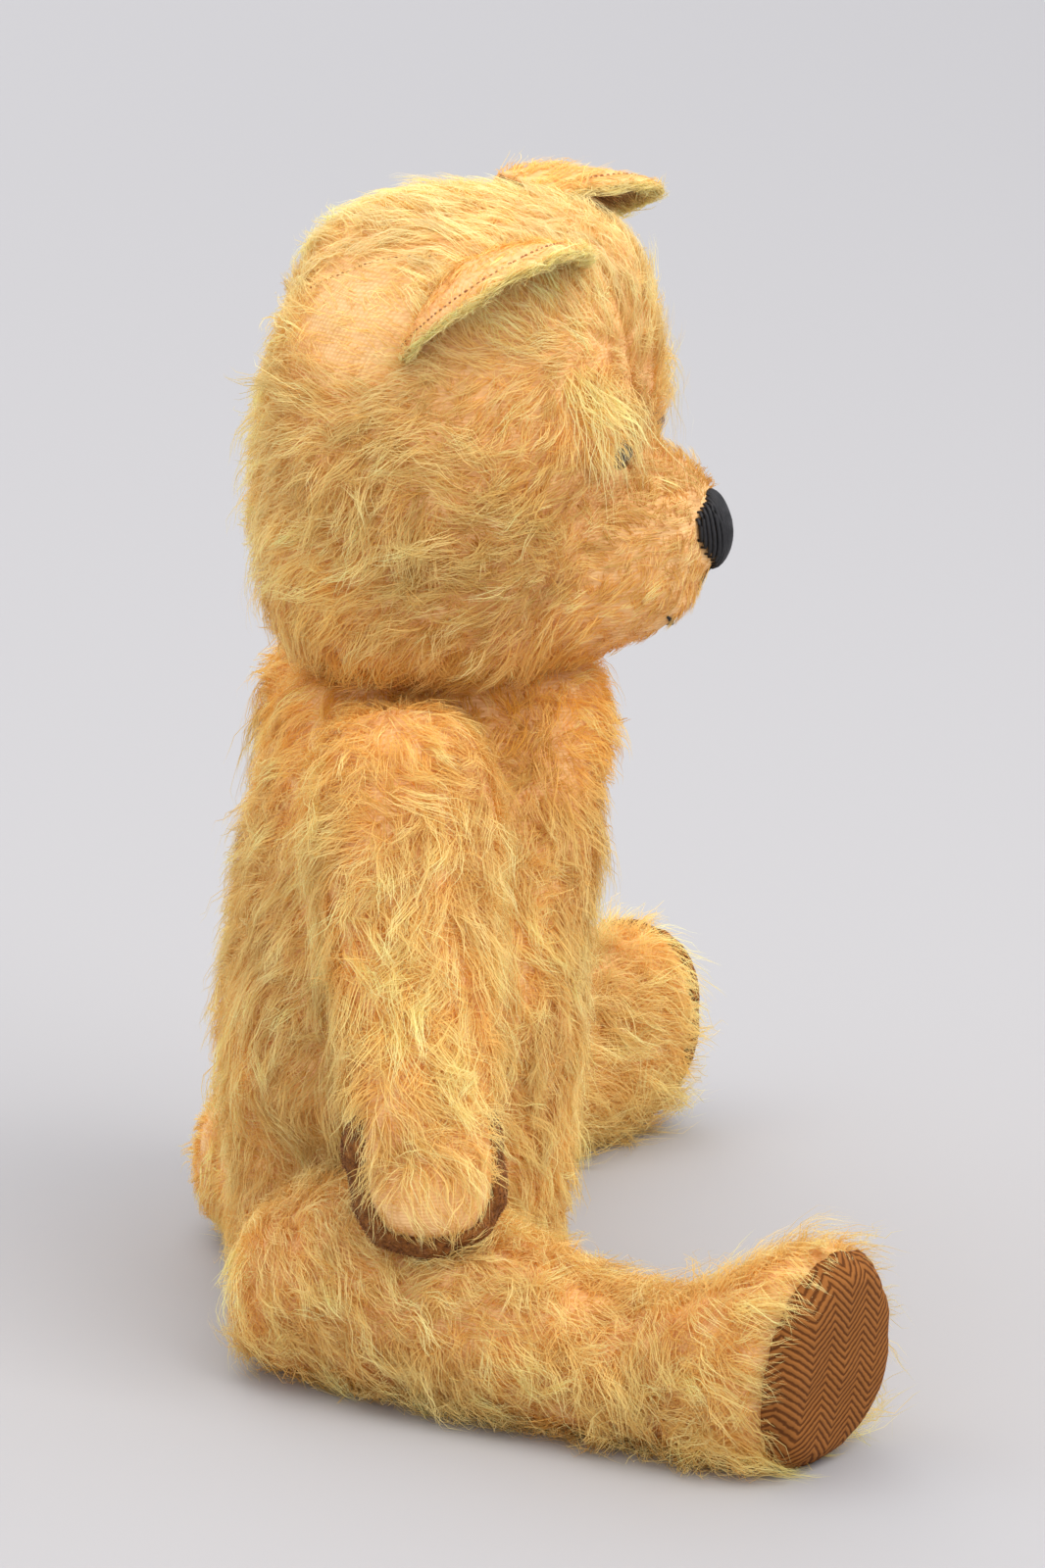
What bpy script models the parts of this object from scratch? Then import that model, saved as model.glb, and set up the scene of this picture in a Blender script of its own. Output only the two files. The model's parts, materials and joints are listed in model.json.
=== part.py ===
"""Jointed mohair bear, seated: five stuffed bodies on disc-and-cotter-pin joints.

Metres, +Z up, facing -Y. The bear's own left is +X. The origin is under the middle of the whole,
on the surface the bear sits on.
"""

import math

import bmesh
import bpy
import numpy as np
from mathutils import Matrix, Vector

MM = 0.001

# Cloth and clearances
CLOTH = 1.8 * MM  # backing cloth with its pile pressed flat
GAP = 0.3 * MM  # air between neighbouring pieces
SEAM = 0.15 * MM  # half the gap between two pieces sewn together

# Joint hardware
DISC_T = 3.0 * MM
WASHER_T = 1.0 * MM
WASHER_R = 8.0 * MM
HOLE_R = 2.3 * MM
WIRE_R = 0.75 * MM
NECK_DISC_R = 18.3 * MM
ARM_DISC_R = 11.6 * MM
LEG_DISC_R = 10.9 * MM
POCKET_R = 10.5 * MM  # room around a washer and a pin's eye or curls
POCKET_D = 11.5 * MM

# Where the joints are and how the bear sits
NECK = Vector((0.0, -0.012, 0.1965))
HEAD_TURN = math.radians(-22.5)  # turned to its own right
SHOULDER = Vector((0.0352, 0.0040, 0.1635))
ARM_LEAN = math.radians(22.8)  # arms hang clear of the thighs
HIP = Vector((0.0394, 0.0140, 0.027))
LEG_SPLAY = math.radians(38.0)

# Body sections, bottom to top: height, half width, half depth, middle
TORSO = (
    (0.0, 34, 32, 1), (3.0, 43.5, 40.5, 1), (12, 48, 44, 1), (27, 49.5, 45, 0.5), (42, 51.5, 46, 0),
    (58, 53.5, 47.5, 0), (78, 54.5, 48, -1), (100, 53.5, 47.5, -3), (122, 51, 46.5, -6),
    (142, 48.5, 46, -9),
    (158, 46.3, 45, -10.2), (170, 43, 45, -13), (180, 38.5, 43.5, -15), (188, 33, 41.5, -17),
    (193.5, 27.5, 39, -17.5), (196.9, 23, 36, -17.5),
)
TORSO_POWER = 2.6
# Cranium sections, bottom to top, the middle measured from the neck axis
CRANIUM = (
    (196.2, 30, 30, 0), (199.5, 37, 35, 0), (206, 45, 41, -1), (218, 53, 46, -2.5),
    (236, 58, 51, -5), (256, 59.5, 53, -7.5), (276, 57.5, 53, -9.5), (294, 52.5, 51, -11),
    (308, 46, 47.5, -12), (318, 38, 41.5, -12.5), (325, 27, 32, -13), (328.5, 14, 18, -13),
)
CRANIUM_TOP = 329.5
CRANIUM_POWER = 2.25
# Muzzle sections, back to front: distance ahead of the neck axis, half width, half height, height
MUZZLE = (
    (22, 35, 29.5, 229.5), (44, 33.5, 30, 231), (54, 29.5, 28.5, 232), (63, 25, 26, 233),
    (71, 20, 22, 234.5), (77, 15, 17, 236), (81, 10, 11.5, 237),
)
MUZZLE_TIP = (83.0, 237.5)
MUZZLE_POWER = 2.2
# Arm sections, shoulder to paw: along the arm, half width, half thickness, middle from the
# shoulder face
ARM = (
    (-20.5, 13, 14, 14.5), (-16.5, 19, 19, 14.5), (-6, 24, 21.5, 15), (6, 25.5, 22, 15),
    (18, 25, 20.5, 15), (36, 22.5, 17, 17), (58, 20, 15.7, 17.8), (82, 19.5, 15, 18),
    (104, 20.5, 15.5, 18.5), (117, 19.5, 14.5, 19), (126, 14.5, 10.5, 19.2),
)
ARM_ENDS = ((-22.0, 14.5), (131.0, 19.2))
ARM_POWER = 2.15
PAW_PAD_FROM = 92.0 * MM
PAW_RIM = 5.5 * MM  # how far the paw's pad comes round onto the outer side
# Leg sections, hip to sole: along the leg, half height, half thickness, middle from the hip face
LEG = (
    (-22.5, 12.5, 14, 18), (-18, 19.5, 20, 18), (-9, 25.5, 25.5, 18.5), (4, 27.5, 27, 19),
    (20, 27.5, 27, 20), (42, 26.5, 25.5, 22), (66, 23.5, 23, 24), (88, 20.5, 20, 24),
    (105, 19.3, 18.5, 24), (120, 21, 19, 24), (134, 25.5, 21, 24), (145, 29.5, 23, 24),
    (154, 31.8, 24, 24), (159.5, 31.8, 24, 24), (163.5, 25, 18.5, 24),
)
LEG_ENDS = ((-24.5, 18.0), (165.5, 24.0))
LEG_POWER = 2.15
SOLE = 158.0 * MM
LEG_FLAT = 0.8 * MM  # how far the underside is pressed flat
FOOT_OUT = 0.20  # how much the sole turns outward, and how much its top leans away
FOOT_LEAN = 0.14
FOOT_MIDDLE = (24.0 * MM, SOLE, 31.5 * MM)  # from the hip face, along the leg, above the seat
CENTRE = Vector((0.0, 0.0320, 0.0))  # puts the middle of the whole over the origin

# Trim of the face
# back and front ends of the root, the way the ear stands, its height, how far its crown leans
# towards its front root, and how deeply it is cupped; the left ear has flopped forward
EARS = {
    1.0: (Vector((-0.047, -0.014, 0.309)), Vector((-0.018, -0.034, 0.328)),
          Vector((-0.30, -0.95, 0.30)), 0.036, 0.1, 0.014),
    -1.0: (Vector((-0.051, -0.004, 0.294)), Vector((-0.030, -0.049, 0.319)),
           Vector((-0.88, -0.25, 0.42)), 0.036, 0.2, 0.015),
}
EAR_T = 1.6 * MM
EYE_R = 5.5 * MM
THREAD_R = 0.7 * MM

SIDES = (("left", 1.0), ("right", -1.0))

COLOURS = {
    "mohair": (0.72, 0.50, 0.22), "felt": (0.25, 0.12, 0.05), "stuffing": (0.66, 0.58, 0.42),
    "board": (0.42, 0.33, 0.22), "steel": (0.55, 0.55, 0.56), "glass": (0.05, 0.02, 0.01),
    "thread": (0.02, 0.02, 0.022),
}


def new_object(name, verts, faces):
    """A closed mesh object with its faces turned outward."""
    mesh = bpy.data.meshes.new(name)
    mesh.from_pydata([tuple(v) for v in verts], [], [tuple(f) for f in faces])
    bm = bmesh.new()
    bm.from_mesh(mesh)
    bmesh.ops.recalc_face_normals(bm, faces=bm.faces[:])
    bm.to_mesh(mesh)
    bm.free()
    obj = bpy.data.objects.new(name, mesh)
    bpy.context.collection.objects.link(obj)
    return obj


def loft(name, rings, ends):
    """A skin over closed rings of equal count, fanned to a point at both ends."""
    n = len(rings[0])
    verts = [p for ring in rings for p in ring]
    faces = []
    for k in range(len(rings) - 1):
        a, b = k * n, (k + 1) * n
        for i in range(n):
            j = (i + 1) % n
            faces += [(a + i, a + j, b + j), (a + i, b + j, b + i)]
    for end, first in ((ends[0], 0), (ends[1], (len(rings) - 1) * n)):
        verts.append(end)
        tip = len(verts) - 1
        faces += [(first + i, first + (i + 1) % n, tip) for i in range(n)]
    return new_object(name, verts, faces)


def oval(a, b, power, count):
    """Points around a rounded oval with half axes a and b."""
    out = []
    for k in range(count):
        t = 2 * math.pi * k / count
        c, s = math.cos(t), math.sin(t)
        out.append((a * math.copysign(abs(c) ** (2 / power), c),
                    b * math.copysign(abs(s) ** (2 / power), s)))
    return out


def solid_box(name, lo, hi, matrix=None):
    corners = [Vector((x, y, z)) for x in (lo[0], hi[0]) for y in (lo[1], hi[1])
               for z in (lo[2], hi[2])]
    if matrix is not None:
        corners = [matrix @ c for c in corners]
    faces = ((0, 1, 3, 2), (4, 6, 7, 5), (0, 4, 5, 1), (2, 3, 7, 6), (0, 2, 6, 4), (1, 5, 7, 3))
    return new_object(name, corners, faces)


def frame_at(point, axis, along):
    """Local X along the joint axis, local Y down the limb, at the joint."""
    x = axis.normalized()
    y = (along - along.dot(x) * x).normalized()
    z = x.cross(y)
    m = Matrix((x, y, z)).transposed().to_4x4()
    m.translation = point
    return m


def lathe(name, profile, matrix, count=24):
    """A ring of revolution about local X: profile is a closed loop of (x, radius)."""
    verts, faces = [], []
    n = len(profile)
    for k in range(count):
        t = 2 * math.pi * k / count
        verts += [matrix @ Vector((x, r * math.cos(t), r * math.sin(t))) for x, r in profile]
    for k in range(count):
        a, b = k * n, (k + 1) % count * n
        faces += [(a + i, a + (i + 1) % n, b + (i + 1) % n, b + i) for i in range(n)]
    return new_object(name, verts, faces)


def rod(name, radius, x0, x1, matrix, count=16):
    """A closed cylinder about local X."""
    rings = [[matrix @ Vector((x, radius * math.cos(2 * math.pi * k / count),
                               radius * math.sin(2 * math.pi * k / count)))
              for k in range(count)] for x in (x0, x1)]
    ends = [matrix @ Vector((x, 0, 0)) for x in (x0, x1)]
    return loft(name, rings, ends)


def tube(name, path, radius, sides=6):
    """A round wire along a list of points, closed at both ends."""
    rings = []
    up = None
    for k, p in enumerate(path):
        d = (path[min(k + 1, len(path) - 1)] - path[max(k - 1, 0)]).normalized()
        if up is None:
            up = d.orthogonal().normalized()
        up = (up - up.dot(d) * d).normalized()
        side = d.cross(up)
        rings.append([p + radius * (math.cos(2 * math.pi * i / sides) * up
                                    + math.sin(2 * math.pi * i / sides) * side)
                      for i in range(sides)])
    return loft(name, rings, (path[0], path[-1]))


def combine(target, cutter, operation, keep=False):
    """Cut or join target with cutter, which is then removed unless kept."""
    mod = target.modifiers.new("cut", "BOOLEAN")
    mod.operation = operation
    mod.solver = "EXACT"
    mod.object = cutter
    cutter.hide_render = True
    cutter.display_type = "WIRE"
    graph = bpy.context.evaluated_depsgraph_get()
    mesh = bpy.data.meshes.new_from_object(target.evaluated_get(graph))
    target.modifiers.clear()
    target.data = mesh
    if not keep:
        bpy.data.objects.remove(cutter, do_unlink=True)
    return target


def copy_of(obj, name):
    twin = obj.copy()
    twin.data = obj.data.copy()
    twin.name = name
    bpy.context.collection.objects.link(twin)
    return twin


def shrunk(obj, name, distance):
    """A copy whose skin lies a distance further in."""
    twin = copy_of(obj, name)
    bm = bmesh.new()
    bm.from_mesh(twin.data)
    bm.normal_update()
    moved = [v.co - v.normal * distance * min(v.calc_shell_factor(), 1.6) for v in bm.verts]
    for v, co in zip(bm.verts, moved):
        v.co = co
    bm.to_mesh(twin.data)
    bm.free()
    return twin


def press(obj, normal, limit, floor=None):
    """Press every point beyond a plane back onto it; floor gives (height, fade) to stop above."""
    for v in obj.data.vertices:
        over = v.co.dot(normal) - limit
        if floor is not None:
            over *= min(1.0, max(0.0, (floor[0] + floor[1] - v.co.z) / floor[1]))
        if over > 0:
            v.co -= normal * over


def remove(*objects):
    for obj in objects:
        bpy.data.objects.remove(obj, do_unlink=True)


def finish(obj, name, slot, origin, smooth=True):
    """Name a piece, give it its material and put its origin on its joint."""
    obj.name = obj.data.name = name
    bm = bmesh.new()
    bm.from_mesh(obj.data)
    bmesh.ops.remove_doubles(bm, verts=bm.verts[:], dist=0.004 * MM)
    bmesh.ops.dissolve_degenerate(bm, edges=bm.edges[:], dist=0.002 * MM)
    bmesh.ops.holes_fill(bm, edges=[e for e in bm.edges if e.is_boundary], sides=4)
    bmesh.ops.triangulate(bm, faces=[f for f in bm.faces if len(f.verts) > 4])
    bmesh.ops.recalc_face_normals(bm, faces=bm.faces[:])
    bmesh.ops.translate(bm, verts=bm.verts[:], vec=-origin)
    for f in bm.faces:
        f.smooth = smooth
    bm.to_mesh(obj.data)
    bm.free()
    obj.location = origin + CENTRE
    mat = bpy.data.materials.new("mat_" + name)
    mat.use_nodes = True
    bsdf = mat.node_tree.nodes["Principled BSDF"]
    bsdf.inputs["Base Color"].default_value = (*COLOURS[slot], 1.0)
    bsdf.inputs["Metallic"].default_value = 1.0 if slot == "steel" else 0.0
    bsdf.inputs["Roughness"].default_value = {"steel": 0.35, "glass": 0.1}.get(slot, 0.85)
    obj.data.materials.clear()
    obj.data.materials.append(mat)
    return obj


def cotter_path(matrix, start, length):
    """Curl, leg, eye, leg, curl: one bent wire whose legs lie side by side on local X."""
    off = WIRE_R * 1.12
    eye = 3.4 * MM
    curl = 3.2 * MM
    side = []
    for k in range(6, -1, -1):
        a = math.radians(-90 + 165 * k / 6)
        side.append((-length - curl * math.cos(a), off + curl + curl * math.sin(a)))
    side += [(-length * 0.5, off), (0.6 * MM, off)]
    loop = []
    for k in range(1, 10):
        a = math.radians(165 - 33 * k)
        loop.append((1.2 * MM + eye + eye * math.cos(a), eye * math.sin(a)))
    path = side + loop + [(x, -y) for x, y in side[::-1]]
    return [matrix @ Vector((x + start, y, 0)) for x, y in path]


def joint_hardware(prefix, matrix, disc_r, limb, trunk, limb_origin, trunk_origin):
    """Discs, washers and a cotter pin about local X: limb side at +X, trunk side at -X."""
    face = GAP / 2 + CLOTH + GAP
    for side, owner, origin in ((1.0, limb, limb_origin), (-1.0, trunk, trunk_origin)):
        x0, x1 = side * face, side * (face + DISC_T)
        disc = lathe("disc", ((x0, HOLE_R), (x1, HOLE_R), (x1, disc_r), (x0, disc_r)), matrix)
        finish(disc, prefix + "_disc_" + owner, "board", origin, False)
        x0 = side * (face + DISC_T + GAP)
        x1 = x0 + side * WASHER_T
        ring = ((x0, HOLE_R), (x1, HOLE_R), (x1, WASHER_R), (x0, WASHER_R))
        finish(lathe("washer", ring, matrix, 16), prefix + "_washer_" + owner, "steel", origin,
               False)
    reach = face + DISC_T + GAP + WASHER_T + GAP
    wire = tube("pin", cotter_path(matrix, reach, 2 * reach), WIRE_R)
    finish(wire, prefix + "_cotter_pin", "steel", limb_origin)


def pocket(target, matrix, disc_r, side):
    """Room in the stuffing for a disc, its washer and the end of the pin, open at the face."""
    face = GAP / 2 + CLOTH
    deep = face + GAP + DISC_T + GAP
    steps = ((face - 1.0 * MM, disc_r + GAP), (deep, disc_r + GAP), (deep + 0.2 * MM, POCKET_R),
             (deep + POCKET_D, POCKET_R))
    rings = [[matrix @ Vector((side * x, r * math.cos(2 * math.pi * (k + 0.5) / 24),
                               r * math.sin(2 * math.pi * (k + 0.5) / 24)))
              for k in range(24)] for x, r in steps]
    ends = [matrix @ Vector((side * steps[k][0], 0, 0)) for k in (0, -1)]
    combine(target, loft("cut", rings, ends), "DIFFERENCE")


def cut_half(source, inner, name, lo, hi, matrix):
    """The part of a cloth shell inside a box."""
    piece = copy_of(source, name)
    combine(piece, solid_box("half", lo, hi, matrix), "INTERSECT")
    return combine(piece, inner, "DIFFERENCE", keep=True)


def drill(obj, matrix):
    combine(obj, rod("hole", HOLE_R, -8 * MM, 8 * MM, matrix), "DIFFERENCE")


def side_vector(v, side):
    return Vector((v.x * side, v.y, v.z))


def shoulder_frame(side):
    axis = Vector((side * math.cos(ARM_LEAN), 0, math.sin(ARM_LEAN)))
    along = Vector((side * math.sin(ARM_LEAN), 0, -math.cos(ARM_LEAN)))
    return frame_at(side_vector(SHOULDER, side), axis, along)


def hip_frame(side):
    axis = Vector((side * math.cos(LEG_SPLAY), math.sin(LEG_SPLAY), 0))
    along = Vector((side * math.sin(LEG_SPLAY), -math.cos(LEG_SPLAY), 0))
    return frame_at(side_vector(HIP, side), axis, along)


def neck_frame():
    return frame_at(NECK, Vector((0, 0, 1)), Vector((0, -1, 0)))


def press_torso(obj, depth):
    """Flatten the trunk where the head, arms and legs bear on it."""
    for _, side in SIDES:
        for m, floor in ((shoulder_frame(side), None), (hip_frame(side), (0.058, 0.012))):
            normal = m.col[0].to_3d()
            press(obj, normal, normal.dot(m.translation) - GAP / 2 - depth, floor)
    press(obj, Vector((0, 0, 1)), NECK.z - GAP / 2 - depth)
    press(obj, Vector((0, 0, -1)), -depth)


def build_torso():
    rings = [[(x, y + mid * MM, z * MM) for x, y in oval(a * MM, b * MM, TORSO_POWER, 24)]
             for z, a, b, mid in TORSO]
    ends = [(0, TORSO[k][3] * MM, TORSO[k][0] * MM) for k in (0, -1)]
    outer = loft("torso_outer", rings, ends)
    inner = shrunk(outer, "torso_inner", CLOTH)
    fill = shrunk(outer, "torso_fill", CLOTH + 2 * GAP)
    for obj, depth in ((outer, 0.0), (inner, CLOTH), (fill, CLOTH + GAP)):
        press_torso(obj, depth)
    frames = [(neck_frame(), NECK_DISC_R)]
    frames += [(shoulder_frame(s), ARM_DISC_R) for _, s in SIDES]
    frames += [(hip_frame(s), LEG_DISC_R) for _, s in SIDES]
    for name, side in SIDES:
        x0, x1 = sorted((side * SEAM, side * 0.1))
        piece = cut_half(outer, inner, "torso_" + name, (x0, -0.2, -0.1), (x1, 0.2, 0.3), None)
        for m, _ in frames:
            drill(piece, m)
        finish(piece, "torso_" + name, "mohair", Vector())
    for m, disc_r in frames:
        pocket(fill, m, disc_r, -1.0)
    finish(fill, "torso_stuffing", "stuffing", Vector())
    remove(outer, inner)


def head_form(name, distance, foot=None):
    """Cranium and muzzle joined, its skin set in by a distance, in head axes."""
    rings = [[(x, y + mid * MM, z * MM) for x, y in oval(a * MM, b * MM, CRANIUM_POWER, 24)]
             for z, a, b, mid in CRANIUM]
    ends = [(0, CRANIUM[0][3] * MM, CRANIUM[0][0] * MM), (0, CRANIUM[-1][3] * MM, CRANIUM_TOP * MM)]
    skull = loft("skull", rings, ends)
    rings = [[(x, -ahead * MM, z + mid * MM) for x, z in oval(a * MM, b * MM, MUZZLE_POWER, 18)]
             for ahead, a, b, mid in MUZZLE]
    ends = [(0, -MUZZLE[0][0] * MM, MUZZLE[0][3] * MM), (0, -MUZZLE_TIP[0] * MM, MUZZLE_TIP[1] * MM)]
    snout = loft("snout", rings, ends)
    skull_in, snout_in = (shrunk(o, name, distance) for o in (skull, snout))
    remove(skull, snout)
    combine(skull_in, snout_in, "UNION")
    foot = distance if foot is None else foot
    press(skull_in, Vector((0, 0, -1)), -(NECK.z + GAP / 2 + foot))
    return skull_in


def gusset_cutter(name, grow):
    """The strip from nose to nape: a wedge narrow at the nose and wide over the crown."""
    outline = ((-90, 7.5), (-66, 12), (-45, 16), (-20, 22), (10, 22), (40, 15), (60, 10))
    verts, faces = [], []
    for ahead, half in outline:
        half = half * MM + grow
        low = (226 - 0.12 * (ahead + 90)) * MM - grow
        for x in (-half, half):
            verts += [(x, ahead * MM, low), (x, ahead * MM, 0.4)]
    for k in range(len(outline) - 1):
        a, b = 4 * k, 4 * k + 4
        faces += [(a, b, b + 1, a + 1), (a + 2, a + 3, b + 3, b + 2), (a, a + 2, b + 2, b),
                  (a + 1, b + 1, b + 3, a + 3)]
    last = 4 * (len(outline) - 1)
    faces += [(0, 1, 3, 2), (last, last + 2, last + 3, last + 1)]
    return new_object(name, verts, faces)


def ear_leaf(name, side, front, clear):
    """One layer of a cupped half-round ear, its root trimmed to the head."""
    back_end, front_end, stand, height, lean, deep = EARS[side]
    chord = front_end - back_end
    root = (front_end + back_end) / 2
    across = chord.normalized()
    up = (stand - stand.dot(across) * across).normalized()
    facing = across.cross(up)
    rows, cols = 5, 13
    lo, hi = ((2 * SEAM, EAR_T + SEAM) if front else (-EAR_T - SEAM, -2 * SEAM))
    sheets = []
    for offset in (lo, hi):
        sheet = []
        for r in range(rows):
            f = r / (rows - 1)
            for c in range(cols):
                a = math.pi * c / (cols - 1)
                u = -math.cos(a) * chord.length * 0.56 * f
                w = math.sin(a) * (height + 0.008) * f
                u += lean * w
                w -= 0.010 * (1 - f * 0.2)
                p = root + across * u + up * w - facing * deep * (1 - f * f)
                sheet.append(side_vector(p + facing * offset * (1 - 0.25 * f), side * -1))
        sheets.append(sheet)
    n = rows * cols
    verts = sheets[0] + sheets[1]
    faces = []
    for r in range(1, rows - 1):
        for c in range(cols - 1):
            q = (r * cols + c, r * cols + c + 1, (r + 1) * cols + c + 1, (r + 1) * cols + c)
            faces += [q, tuple(n + i for i in q[::-1])]
    for c in range(cols - 1):
        tri = (0, cols + c + 1, cols + c)
        faces += [tri[::-1], tuple(n + i for i in tri)]
        rim = ((rows - 1) * cols + c, (rows - 1) * cols + c + 1)
        faces.append((rim[0], rim[1], n + rim[1], n + rim[0]))
    for c in (0, cols - 1):
        for r in range(1, rows - 1):
            e = (r * cols + c, (r + 1) * cols + c)
            faces.append((e[0], e[1], n + e[1], n + e[0]))
        faces.append((0, cols + c, n + cols + c, n))
    used = sorted({i for f in faces for i in f})
    index = {v: k for k, v in enumerate(used)}
    leaf = new_object(name, [verts[i] for i in used], [[index[i] for i in f] for f in faces])
    return combine(leaf, clear, "DIFFERENCE", keep=True)


def muzzle_point(x, z, out):
    """A point on the front of the muzzle, a little out from the cloth."""
    best = -0.0
    for (y0, a0, b0, c0), (y1, a1, b1, c1) in zip(MUZZLE, MUZZLE[1:] + ((83.0, 0.5, 0.5, 234.5),)):
        for k in range(13):
            t = k / 12
            a, b, c, y = (p + (q - p) * t for p, q in ((a0, a1), (b0, b1), (c0, c1), (y0, y1)))
            r = abs(x / (a * MM)) ** MUZZLE_POWER + abs((z - c * MM) / (b * MM)) ** MUZZLE_POWER
            if r <= 1.0:
                best = max(best, y * MM)
    return Vector((x, -(best + out), z))


def nose_pad(clear):
    """A domed pad of satin stitches over the end of the muzzle, wide at the top."""
    rings = []
    for y, grow in ((-64, 1.0), (-78, 1.0), (-84, 0.86), (-86.2, 0.55)):
        ring = []
        for k in range(20):
            t = 2 * math.pi * k / 20
            wide = 10.0 * (1 + 0.18 * math.sin(t))
            ring.append((wide * grow * math.cos(t) * MM, y * MM, (238 + 11.0 * grow * math.sin(t)) * MM))
        rings.append(ring)
    pad = loft("nose", rings, ((0, -0.064, 0.238), (0, -0.0868, 0.238)))
    return combine(pad, clear, "DIFFERENCE", keep=True)


def build_head():
    m = neck_frame()
    turn = (Matrix.Translation(NECK) @ Matrix.Rotation(HEAD_TURN, 4, "Z")
            @ Matrix.Translation(Vector((0, 0, -NECK.z))))
    outer = head_form("head_outer", 0.0)
    inner = head_form("head_inner", CLOTH)
    fill = head_form("head_fill", CLOTH + 2 * GAP)
    clear = head_form("head_clear", -GAP * 1.3)
    pin_hole = rod("pin_hole", HOLE_R, -0.01, 0.01, Matrix.Translation(Vector((0, 0, NECK.z)))
                   @ Matrix.Rotation(math.radians(-90), 4, "Y"))
    pieces = []
    for name, side in SIDES:
        x0, x1 = sorted((side * SEAM, side * 0.1))
        piece = cut_half(outer, inner, "head_side_" + name, (x0, -0.2, 0.1), (x1, 0.2, 0.4), None)
        combine(piece, gusset_cutter("strip", 2 * SEAM), "DIFFERENCE")
        combine(piece, pin_hole, "DIFFERENCE", keep=True)
        pieces.append((piece, "head_side_" + name, "mohair"))
    strip = copy_of(outer, "head_gusset")
    combine(strip, gusset_cutter("strip", 0.0), "INTERSECT")
    combine(strip, inner, "DIFFERENCE", keep=True)
    pieces.append((strip, "head_gusset", "mohair"))
    for name, side in SIDES:
        for layer in ("front", "back"):
            leaf = ear_leaf("leaf", side, layer == "front", clear)
            pieces.append((leaf, "ear_%s_%s" % (layer, name), "mohair"))
        eye_at = Vector((side * 0.0205, -0.0572, 0.2640))
        look = Vector((side * 0.42, -1.0, 0.12)).normalized()
        em = frame_at(eye_at, look, Vector((0, 0, 1)))
        bead = lathe("bead", ((-0.5 * MM, 0.15 * MM), (-0.5 * MM, 2.6 * MM), (0.8 * MM, 4.9 * MM),
                              (2.6 * MM, EYE_R), (4.6 * MM, 4.6 * MM), (6.0 * MM, 2.4 * MM),
                              (6.4 * MM, 0.15 * MM)), em, 16)
        fill_bead = bmesh.new()
        fill_bead.from_mesh(bead.data)
        core = [v for v in fill_bead.verts if (em.inverted() @ v.co).yz.length < 0.2 * MM]
        bmesh.ops.delete(fill_bead, geom=core, context="VERTS")
        bmesh.ops.holes_fill(fill_bead, edges=fill_bead.edges[:], sides=20)
        fill_bead.to_mesh(bead.data)
        fill_bead.free()
        combine(bead, clear, "DIFFERENCE", keep=True)
        pieces.append((bead, "eye_" + name, "glass"))
    pieces.append((nose_pad(clear), "nose", "thread"))
    down = [muzzle_point(0, z * MM, 1.6 * MM) for z in (223.5, 220, 216.5, 213.5)]
    pieces.append((tube("thread", down, THREAD_R), "nose_mouth_stitch", "thread"))
    smile = [muzzle_point(x * MM, (210.4 + 0.025 * x * x) * MM, 1.6 * MM)
             for x in (-13, -10, -7, -3.5, 0, 3.5, 7, 10, 13)]
    pieces.append((tube("thread", smile, THREAD_R), "mouth_stitch", "thread"))
    for obj, name, slot in pieces:
        obj.data.transform(turn)
        finish(obj, name, slot, NECK)
    fill.data.transform(turn)
    pocket(fill, m, NECK_DISC_R, 1.0)
    finish(fill, "head_stuffing", "stuffing", NECK)
    remove(outer, inner, clear, pin_hole)
    joint_hardware("neck", m, NECK_DISC_R, "head", "torso", NECK, Vector())


def limb_form(name, rows, ends, power, matrix, distance, count):
    rings = [[matrix @ Vector((mid * MM + x, along * MM, z)) for x, z in
              oval(thick * MM, wide * MM, power, count)] for along, wide, thick, mid in rows]
    tips = [matrix @ Vector((mid * MM, along * MM, 0)) for along, mid in ends]
    form = loft(name, rings, tips)
    if distance:
        twin = shrunk(form, name, distance)
        remove(form)
        form = twin
    normal = -matrix.col[0].to_3d()
    press(form, normal, normal.dot(matrix.translation) - GAP / 2 - distance)
    return form


def build_arm(name, side):
    m = shoulder_frame(side)
    joint = side_vector(SHOULDER, side)
    outer, inner, fill = (limb_form("arm", ARM, ARM_ENDS, ARM_POWER, m, d, 16)
                          for d in (0.0, CLOTH, CLOTH + GAP))
    middle = 18.6 * MM
    top, pad = PAW_PAD_FROM - SEAM, PAW_PAD_FROM + SEAM
    rim = middle + PAW_RIM
    outside = cut_half(outer, inner, "outside", (middle + SEAM, -0.1, -0.1), (0.1, 0.2, 0.1), m)
    under = solid_box("under", (-0.1, top, -0.1), (rim + SEAM, 0.25, 0.11), m)
    combine(outside, under, "DIFFERENCE")
    finish(outside, "arm_outer_" + name, "mohair", joint)
    inside = cut_half(outer, inner, "inside", (-0.1, -0.1, -0.1), (middle - SEAM, top, 0.1), m)
    drill(inside, m)
    finish(inside, "arm_inner_" + name, "mohair", joint)
    paw = cut_half(outer, inner, "paw", (-0.1, pad, -0.1), (rim - SEAM, 0.2, 0.1), m)
    finish(paw, "paw_pad_" + name, "felt", joint)
    pocket(fill, m, ARM_DISC_R, 1.0)
    finish(fill, "arm_stuffing_" + name, "stuffing", joint)
    remove(outer, inner)
    joint_hardware("shoulder_" + name, m, ARM_DISC_R, "arm", "torso", joint, Vector())


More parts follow.
